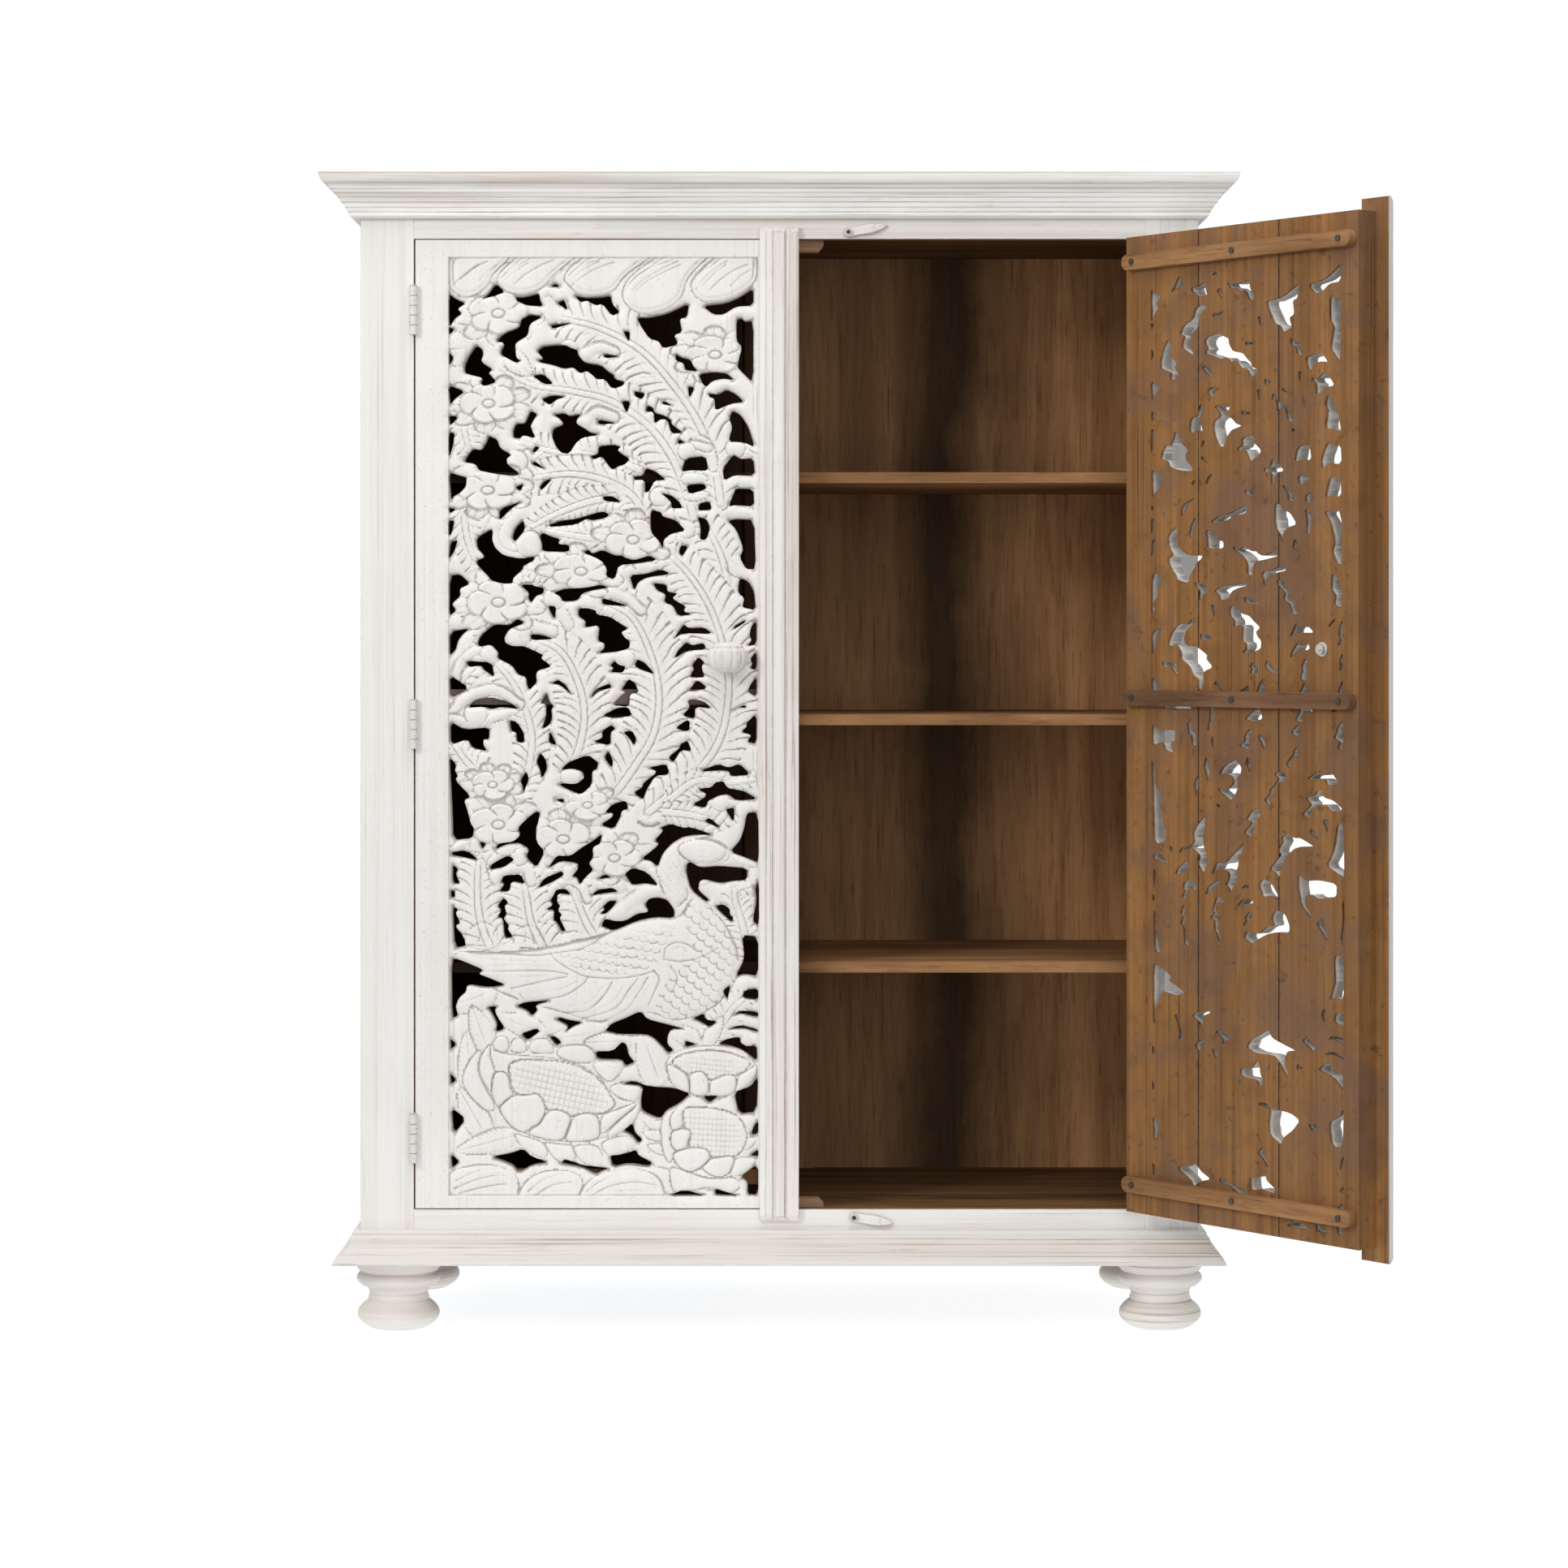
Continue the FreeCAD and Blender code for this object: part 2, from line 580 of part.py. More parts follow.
# The larger holes of the carved field, clockwise in pixels of the photograph, one hole to a line
field_left_px = 552
field_right_px = 935
field_top_px = 316
field_bottom_px = 1474
hole_corners_px = """
552,360 560,367 574,373 563,380 569,386 560,392 552,401
551,473 573,482 560,491 552,500
552,581 564,585 575,588 574,599 567,607 555,618
553,709 566,707 579,719 566,725 567,734 556,744 562,752 552,760
553,778 579,774 570,781 561,801 553,809
553,831 579,848 554,861
554,889 572,899 603,896 602,911 595,918 600,926 581,922 575,911 554,918
553,932 562,942 560,961 580,982 571,986 576,1000 584,1020 582,1033 557,1036 556,1000 554,960
557,1065 564,1071 561,1077 567,1089 557,1089
557,1116 564,1121 561,1125 567,1138 560,1141 571,1154 574,1166 559,1169
555,1181 567,1183 596,1195 589,1200 624,1214 602,1218 575,1214 565,1230 564,1252 556,1256
555,1365 574,1379 558,1399
555,1422 566,1432 556,1441
610,348 622,359 610,364 592,369 600,362
634,365 645,365 664,360 669,377 649,376 636,370
707,363 740,365 752,363 754,374 764,384 742,374 723,370
784,390 800,390 822,385 849,372 846,391 837,392 840,409 830,412 836,424 817,429 811,420 800,417 789,401
865,376 895,372 928,354 928,376 907,377 891,387 879,387
907,392 914,391 928,394 928,472 915,459 908,452 914,427 907,419
652,386 669,389 652,399 650,413 634,424 636,441 617,437 616,432 621,422 610,420 620,409 639,402
661,432 667,426 682,424 704,428 712,437 720,446 740,449 770,470 754,479 745,467 735,467 723,456 706,452
860,460 880,457 895,459 905,468 877,469 871,476
872,484 895,479 917,495 900,497 881,506 880,491
902,505 912,510 922,525 930,551 917,545 897,544 902,525
586,424 595,436 592,445 607,455 612,470 596,476 594,465 572,459 571,450 577,437
651,505 662,510 653,525 660,540 640,540 631,531 635,521 646,521
681,510 695,508 716,509 710,522 726,532 739,535 717,539 701,559 685,551 679,537 681,527 694,522
737,549 755,547 765,550 760,555 776,565 754,579 741,562 727,561
797,499 805,502 827,517 842,533 827,534 822,517 806,522
601,536 612,541 616,552 630,560 624,565 641,584 631,586 605,583 585,571 571,569 582,552 592,554
795,576 807,580 821,591 806,592 794,607 794,591 780,587
814,607 827,610 841,626 827,626
844,564 869,561 873,580 852,579 839,581
903,559 928,564 930,586 905,585 892,592 890,577
845,597 867,595 871,602 849,609
906,601 928,602 929,624 906,622 897,624
861,620 874,617 877,628 860,629
859,636 870,639 875,650 870,665 862,665
896,641 929,640 931,701 919,701 911,686 916,676 907,652
801,627 815,631 845,654 827,657 817,677 812,667 801,655
644,617 630,626 614,642 615,626
644,640 647,652 634,668 630,662
674,647 690,641 742,629 751,634 710,646 680,649
586,662 605,651 606,665 620,684 659,685 644,701 632,712 631,719 604,715 587,696
662,660 666,655 690,664 701,671 701,680 667,679
717,680 742,677 770,687 800,684 810,690 762,696 757,714 746,710 747,700
775,708 795,707 827,707 797,711 781,728
804,718 821,720 822,729 845,747 853,757 835,759 829,746 818,742
912,712 922,716 929,729 931,752 914,748 917,737 909,730
640,720 656,720 670,724 669,731 654,743 650,737
681,730 695,725 750,724 717,731 711,740 692,741
712,749 734,752 774,774 769,785 776,790 775,799 736,805 744,799 736,790 738,770 720,773
637,762 647,767 621,785 669,807 680,821 662,826 661,841 649,847 647,834 612,811 604,794 590,797 605,771
653,781 667,782 683,787 654,789
842,769 867,773 879,781 840,780 829,788
932,764 925,772 923,783 920,796 932,794
845,791 867,792 870,800 845,802 830,812 835,801
860,809 868,816 868,834 849,834
859,837 872,848 849,850
932,879 919,891 913,902 926,906 920,914 932,917
850,861 867,864 877,873 856,871 856,886 840,882
847,912 852,926 839,924 829,940 821,933 837,922
819,941 822,954 807,956 792,986 780,977 792,965 810,951 798,946
771,986 774,997 756,1022 739,1017 755,1002 744,1002 754,991
785,812 807,831 789,825 781,820
774,836 787,853 776,855 775,871 754,869 765,857
760,872 774,871 779,882 756,885
753,893 752,919 730,914 742,909
767,902 779,900 784,911 781,919
673,853 682,870 680,885 667,899 672,882
677,900 686,919 675,915
575,872 585,862 605,859 641,874 617,871 605,874
573,814 606,816 609,835 595,825
627,887 636,889 646,915 636,915
665,927 674,947 667,960 655,939
648,950 652,960 643,980 640,962
724,930 737,939 729,950 729,967 715,980 688,967 692,965 710,966 717,951 705,947 690,949
749,925 755,937 754,947 744,934
860,951 885,941 911,941 925,955 900,957
859,972 877,970 896,971 934,985 907,987 887,980 869,996 852,992
893,997 905,995 904,1014
874,1007 890,1022 867,1012
920,1001 934,1001 935,1064 925,1060 899,1050 912,1035
660,1000 661,1037 671,1050 660,1070 646,1057 649,1047 639,1039 609,1047 614,1039 640,1030 637,1021
602,1072 605,1065 625,1054 634,1059 620,1069
620,1079 642,1077 647,1090 630,1086 627,1099 614,1099
620,1106 626,1112 632,1155 621,1157 612,1131
702,1055 720,1042 742,1027 730,1044 725,1064 731,1072 714,1091 704,1080 711,1064 674,1071 686,1054
662,1095 670,1082 694,1079
685,1096 697,1095 704,1103 687,1101 692,1127 697,1147 692,1149 681,1135 681,1115
769,1077 779,1069 797,1075 812,1092 795,1089 778,1091
727,1104 737,1096 755,1094 762,1099
760,1110 745,1127 741,1119
741,1139 757,1135 785,1126 799,1124 794,1115 811,1106 831,1122 830,1132 785,1135 755,1148
813,1020 851,1019 880,1029 840,1032 816,1052 810,1069 789,1059 812,1041
846,1064 862,1069 921,1070 920,1085 867,1084 861,1087 874,1109 851,1097
880,1117 891,1114 903,1130 902,1138
935,1084 930,1095 932,1110 927,1135 935,1142
914,1152 934,1154 934,1204 906,1204 917,1182
917,1220 934,1218 934,1233 914,1230
903,1251 912,1245 934,1247 934,1254
600,1241 612,1240 621,1266 612,1262
635,1240 681,1232 657,1237 652,1253
684,1256 718,1260 696,1272
853,1255 867,1249 884,1259 874,1267
744,1271 754,1261 789,1246 845,1268 827,1269 819,1287 830,1295 821,1301 805,1280 795,1276 762,1276
641,1274 661,1267 649,1283
884,1287 895,1280 912,1278 932,1288 933,1309 917,1296
733,1296 755,1295 766,1284 774,1300 782,1310 770,1315 766,1307 735,1306
765,1336 780,1332 800,1339 832,1341 851,1348 820,1370 813,1381 790,1370
865,1351 886,1350 874,1360
934,1325 925,1339 904,1346 910,1374 932,1372
934,1434 912,1450 921,1457 921,1474 934,1474
767,1394 779,1384 792,1405 779,1400
751,1424 784,1417 804,1433 799,1439 754,1439
604,1426 644,1416 676,1433 639,1446
690,1434 696,1428 752,1440 734,1448
822,1474 842,1466 872,1474
881,1474 881,1465 912,1474
"""


doors = ("left", "right")


def hole_wires(width, height):
    """The holes' outlines in a field of this width and height, from its lower left corner."""
    wires = []
    for line in hole_corners_px.split("\n")[1:-1]:
        corners = []
        for corner in line.split():
            x_px, y_px = (int(pixel) for pixel in corner.split(","))
            x_share = (x_px - field_left_px) / (field_right_px - field_left_px)
            y_share = (field_bottom_px - y_px) / (field_bottom_px - field_top_px)
            corners.append(FreeCAD.Vector(x_share * width, 0, y_share * height))
        wires.append(Part.makePolygon(corners + corners[:1]))
    return wires


def pierced_slab(side):
    """A door's slab in one piece, pierced with the carving's holes, from its hinged lower corner."""
    width = size(f"{side}_door_width")
    height = size("opening_height") - 2 * size("door_end_gap")
    edge = Part.makePolygon([FreeCAD.Vector(x, 0, z)
                             for x, z in ((0, 0), (width, 0), (width, height), (0, height), (0, 0))])
    field = FreeCAD.Vector(size(f"{side}_field_start"), 0, size("field_bottom_margin"))
    holes = hole_wires(size(f"{side}_field_width"), size("field_height"))
    for hole in holes:
        hole.translate(field)
    face = Part.makeFace([edge] + holes, "Part::FaceMakerBullseye")
    slab = doc.addObject("Part::Feature", f"{side}_slab")
    slab.Shape = face.extrude(FreeCAD.Vector(0, size("door_thickness"), 0))
    return place(slab, "door_side_gap", slab_front, slab_bottom)


# Meeting bar: shares of its width and thickness, from the slab outwards
bar_shares = (
    (0, 0, 0), (1, 0, 0), (1, 0.4, 0), (0.83, 0.72, 0), (0.67, 0.72, 0), (0.65, 0.5, 0),
    (0.35, 0.5, 0), (0.33, 0.72, 0), (0.17, 0.72, 0), (0, 0.4, 0),
)
bar_core_shares = (
    (0.36, 0.4, 0), (0.64, 0.4, 0), (0.64, 0.85, 0), (0.61, 1, 0), (0.39, 1, 0), (0.36, 0.85, 0),
)


def hang(side, label, item):
    """Keep a piece of a door, drawn for the left side with the door closed, where it hangs at rest."""
    name = f"{side}_{label}_hung"
    if side == "left":
        hung = place(group(name, [item]), f"-{opening_half}", hinge_line)
    else:
        hung = place(mirrored(name, item), opening_half, hinge_line, "0", (0, 0, 1), "right_open_angle")
    keep(hung, f"{side}_{label}")


def make_door(side):
    """The pieces of one door."""
    width = f"{side}_door_width"
    knob_x = f"door_side_gap + {side}_knob_place"
    knob_z = f"{side}_knob_level"
    screw_hole = "screw_radius + screw_clearance"

    # Screws through the battens, and the holes that they and the knob's bolt need
    batten_start = "(door_side_gap + batten_inset)"
    batten_end = f"(door_side_gap + {width} - batten_inset)"
    screw_places = (f"{batten_start} + batten_screw_inset", f"({batten_start} + {batten_end}) / 2",
                    f"{batten_end} - batten_screw_inset")
    screws = []
    holes = [rod(f"{side}_bolt_hole", "bolt_radius + bolt_clearance", "door_thickness + 2 * overrun",
                 knob_x, f"{slab_back} + overrun", knob_z, forwards)]
    for level in levels:
        for count, x in enumerate(screw_places):
            name = f"{side}_{level}_batten_screw_{count}"
            z = f"{level}_batten_level"
            shank = rod(f"{name}_shank", "screw_radius", "batten_thickness + batten_screw_depth",
                        x, batten_back, z, forwards)
            head = rod(f"{name}_head", "screw_head_radius", "screw_head_thickness",
                       x, f"{batten_back} + screw_head_thickness", z, forwards)
            screws.append(fused(name, [shank, head]))
            holes.append(rod(f"{name}_hole", screw_hole,
                             "overrun + batten_thickness + batten_screw_depth + screw_clearance",
                             x, f"{batten_back} + overrun", z, forwards))
    hang(side, "batten_screws", group(f"{side}_batten_screw_set", screws))
    hole_set = group(f"{side}_hole_set", holes)
    edge_hole_set = group(f"{side}_edge_hole_set", door_screw_holes + [hole_set])

    # Three boards, jointed edge to edge
    slab = pierced_slab(side)
    joints = ("0", f"{side}_first_joint", f"{side}_second_joint", width)
    for board, start, end, tool in (("hinge_board", joints[0], joints[1], edge_hole_set),
                                    ("middle_board", joints[1], joints[2], hole_set),
                                    ("meeting_board", joints[2], joints[3], hole_set)):
        name = f"{side}_{board}"
        span = box(f"{name}_span", f"{end} - {start}", "door_thickness", slab_height,
                   f"door_side_gap + {start}", slab_front, slab_bottom)
        hang(side, board, common(f"{name}_pierced", slab, cut(f"{name}_bored", span, tool)))

    # Battens with round ends
    for level in levels:
        name = f"{side}_{level}_batten"
        z = f"{level}_batten_level"
        middle = box(f"{name}_middle", f"{batten_end} - {batten_start} - batten_height", "batten_thickness",
                     "batten_height", f"{batten_start} + batten_height / 2", slab_back,
                     f"{z} - batten_height / 2")
        ends = [rod(f"{name}_end_{end}", "batten_height / 2", "batten_thickness", x, batten_back, z, forwards)
                for end, x in enumerate((f"{batten_start} + batten_height / 2",
                                         f"{batten_end} - batten_height / 2"))]
        hang(side, f"batten_{level}", cut(name, fused(f"{name}_solid", [middle] + ends), hole_set))

    # Meeting bar with its raised core
    bar_bottom = f"({slab_bottom} - bar_lap)"
    bar_length = f"({slab_height} + 2 * bar_lap)"
    bar = straight_body(f"{side}_bar", "XY_Plane", bar_shares, "bar_width", "bar_thickness", bar_length)
    core = straight_body(f"{side}_bar_core", "XY_Plane", bar_core_shares, "bar_width", "bar_thickness",
                         f"{bar_length} - 2 * bar_core_drop")
    bar_x = f"door_side_gap + {side}_bar_start + bar_width"
    place(bar, bar_x, slab_front, bar_bottom, (0, 0, 1), "180")
    place(core, bar_x, slab_front, f"{bar_bottom} + bar_core_drop", (0, 0, 1), "180")
    hang(side, "meeting_bar", fused(f"{side}_bar_solid", [bar, core]))

    # Knob, and the bolt that holds it from behind
    neck = rod(f"{side}_knob_neck", "knob_neck_radius", "knob_neck_length + knob_depth / 2",
               knob_x, slab_front, knob_z, forwards)
    head = bind(doc.addObject("Part::Ellipsoid", f"{side}_knob_head"), Radius1="knob_height / 2",
                Radius2="knob_width / 2", Radius3="knob_depth / 2")
    place(head, knob_x, f"{slab_front} - knob_neck_length - knob_depth / 2", knob_z)
    bore = rod(f"{side}_knob_bore", "bolt_radius + bolt_clearance", "bolt_grip + overrun",
               knob_x, f"{slab_front} + overrun", knob_z, forwards)
    hang(side, "knob", cut(f"{side}_knob_bored", fused(f"{side}_knob_solid", [neck, head]), bore))
    bolt_length = "bolt_tail + door_thickness + bolt_grip - bolt_clearance"
    shank = rod(f"{side}_bolt_shank", "bolt_radius", bolt_length, knob_x, f"{slab_back} + bolt_tail",
                knob_z, forwards)
    washer = rod(f"{side}_washer", "washer_radius", "washer_thickness", knob_x,
                 f"{slab_back} + washer_thickness", knob_z, forwards)
    nut = rod(f"{side}_bolt_nut", "bolt_nut_radius", "bolt_nut_thickness", knob_x,
              f"{slab_back} + washer_thickness + bolt_nut_thickness", knob_z, forwards)
    hang(side, "knob_bolt", fused(f"{side}_bolt", [shank, washer, nut]))


for side in doors:
    make_door(side)
    hang(side, "hinge_leaves", group(f"{side}_door_leaf_set", door_leaves))
    hang(side, "hinge_screws", group(f"{side}_door_screw_set", door_screws))

doc.recompute()
for item in doc.Objects:
    failed = [state for state in item.State if state in ("Invalid", "Error")]
    if failed:
        raise RuntimeError(f"{item.Name} is {failed}")
for label, item in pieces.items():
    if item.Shape.isNull() or not item.Shape.isValid() or not item.Shape.Solids:
        raise RuntimeError(f"{label} has no valid shape")

os.makedirs("parts", exist_ok=True)
for label, item in pieces.items():
    item.Shape.exportStep(f"parts/{label}.step")
    print(f"{label}: {len(item.Shape.Solids)} solids, {item.Shape.Volume / 1000:.1f} cm3")
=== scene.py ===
"""The looks of the book cabinet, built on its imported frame."""
import json
import math

import bpy
import numpy as np
from mathutils import Matrix, Vector
from mathutils.geometry import delaunay_2d_cdt


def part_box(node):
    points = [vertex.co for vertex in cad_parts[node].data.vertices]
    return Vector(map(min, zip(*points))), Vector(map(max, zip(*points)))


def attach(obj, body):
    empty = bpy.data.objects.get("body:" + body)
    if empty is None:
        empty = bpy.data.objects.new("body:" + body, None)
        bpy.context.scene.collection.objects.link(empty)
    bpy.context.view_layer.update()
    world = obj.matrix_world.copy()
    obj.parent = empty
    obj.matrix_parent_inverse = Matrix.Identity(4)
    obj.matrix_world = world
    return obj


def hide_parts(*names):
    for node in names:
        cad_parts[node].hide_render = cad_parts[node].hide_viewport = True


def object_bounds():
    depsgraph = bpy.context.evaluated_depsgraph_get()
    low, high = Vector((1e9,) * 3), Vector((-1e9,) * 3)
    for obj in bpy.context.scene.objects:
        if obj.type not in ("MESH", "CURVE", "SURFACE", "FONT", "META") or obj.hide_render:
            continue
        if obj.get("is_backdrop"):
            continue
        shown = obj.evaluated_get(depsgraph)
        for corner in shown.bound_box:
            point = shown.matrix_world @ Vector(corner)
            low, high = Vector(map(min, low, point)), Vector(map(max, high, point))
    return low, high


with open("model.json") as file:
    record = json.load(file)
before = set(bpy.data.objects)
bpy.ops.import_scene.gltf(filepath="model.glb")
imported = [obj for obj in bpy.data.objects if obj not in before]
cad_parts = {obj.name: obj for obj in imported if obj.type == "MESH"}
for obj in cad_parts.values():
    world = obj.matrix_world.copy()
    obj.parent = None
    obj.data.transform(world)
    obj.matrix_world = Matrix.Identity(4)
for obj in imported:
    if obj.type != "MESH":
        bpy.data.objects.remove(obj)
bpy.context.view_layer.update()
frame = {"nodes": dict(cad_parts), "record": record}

nodes = frame["nodes"]
mm = 0.001


# Places in the row frame, in millimetres, read from the frame
def low_high(node):
    """A CAD node's lowest and highest corner in millimetres."""
    low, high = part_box(node)
    return low / mm, high / mm


def joint_at(name):
    """A joint's place in metres and its range in degrees."""
    joint = next(j for j in frame["record"]["behaviour"]["joints"] if j["name"] == name)
    return Vector(joint["pos_m"]), joint["range_deg"]


left_hinge, _ = joint_at("left_door_hinge")
right_hinge, right_range = joint_at("right_door_hinge")
right_open = math.radians(-right_range[0])
door_places = {
    "left": Matrix.Translation(left_hinge),
    "right": Matrix.Translation(right_hinge) @ Matrix.Rotation(right_open, 4, "Z"),
}
for place in door_places.values():
    place[2][3] = 0


def local_box(side, node):
    """A door piece's lowest and highest corner in its door's own frame, in millimetres, x from the hinge."""
    back = door_places[side].inverted()
    corners = np.array([back @ v.co for v in nodes[f"{side}_{node}"].data.vertices]) / mm
    if side == "right":
        corners[:, 0] *= -1
    return corners.min(0), corners.max(0)


# Meshes
def new_mesh(name, points, faces, smooth_below=0.0):
    """A mesh object from points in millimetres and faces of corner numbers, smooth under that angle."""
    mesh = bpy.data.meshes.new(name)
    if isinstance(faces, np.ndarray):
        mesh.vertices.add(len(points))
        mesh.vertices.foreach_set("co", (np.asarray(points) * mm).astype(np.float32).ravel())
        mesh.loops.add(faces.size)
        mesh.loops.foreach_set("vertex_index", faces.astype(np.int32).ravel())
        mesh.polygons.add(len(faces))
        mesh.polygons.foreach_set("loop_start", np.arange(0, faces.size, faces.shape[1], dtype=np.int32))
        mesh.update(calc_edges=True)
    else:
        mesh.from_pydata([Vector(point) * mm for point in points], [], faces)
    mesh.validate()
    if smooth_below:
        mesh.polygons.foreach_set("use_smooth", [True] * len(mesh.polygons))
        mesh.set_sharp_from_angle(angle=math.radians(smooth_below))
    made = bpy.data.objects.new(name, mesh)
    bpy.context.collection.objects.link(made)
    return made


def ring_faces(rings, turns, start=0):
    """Faces between closed rings of corners that follow one another."""
    faces = []
    for ring in range(rings - 1):
        low = start + ring * turns
        for count in range(turns):
            after = (count + 1) % turns
            faces.append((low + count, low + after, low + turns + after, low + turns + count))
    return faces


def backed_faces(points, rows, columns, back):
    """Faces of a grid of front corners, of its sides and of its flat back, whose corners join the points."""
    faces = []
    for row in range(rows - 1):
        for column in range(columns - 1):
            first = row * columns + column
            faces.append((first, first + 1, first + columns + 1, first + columns))
    last_row = (rows - 1) * columns
    rim = [*range(columns), *range(2 * columns - 1, rows * columns, columns),
           *range(last_row + columns - 2, last_row - 1, -1), *range(last_row - columns, 0, -columns)]
    start = len(points)
    points.extend((points[number][0], back, points[number][2]) for number in rim)
    for place, number in enumerate(rim):
        after = (place + 1) % len(rim)
        faces.append((rim[after], number, start + place, start + after))
    faces.append(tuple(start + place for place in reversed(range(len(rim)))))
    return faces


def turned_over(faces):
    """The same faces seen from their other side, each from its first corner."""
    return [face[:1] + face[:0:-1] for face in faces]


def mirrored(points, faces):
    """Points and faces measured from the hinge, as the right door has them."""
    return np.array(points) * (-1, 1, 1), [face[::-1] for face in faces]


def rounded_edges(item, width):
    """Round a piece's edges with a modifier."""
    segments, sharp_above = 2, 30
    bevel = item.modifiers.new("edges", "BEVEL")
    bevel.width = width * mm
    bevel.segments = segments
    bevel.limit_method = "ANGLE"
    bevel.angle_limit = math.radians(sharp_above)
    bevel.harden_normals = True


def stand_in(item, body, material, replaced):
    """Hang a finished piece on its body in place of its CAD node."""
    item.data.materials.append(material)
    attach(item, body)
    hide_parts(replaced)


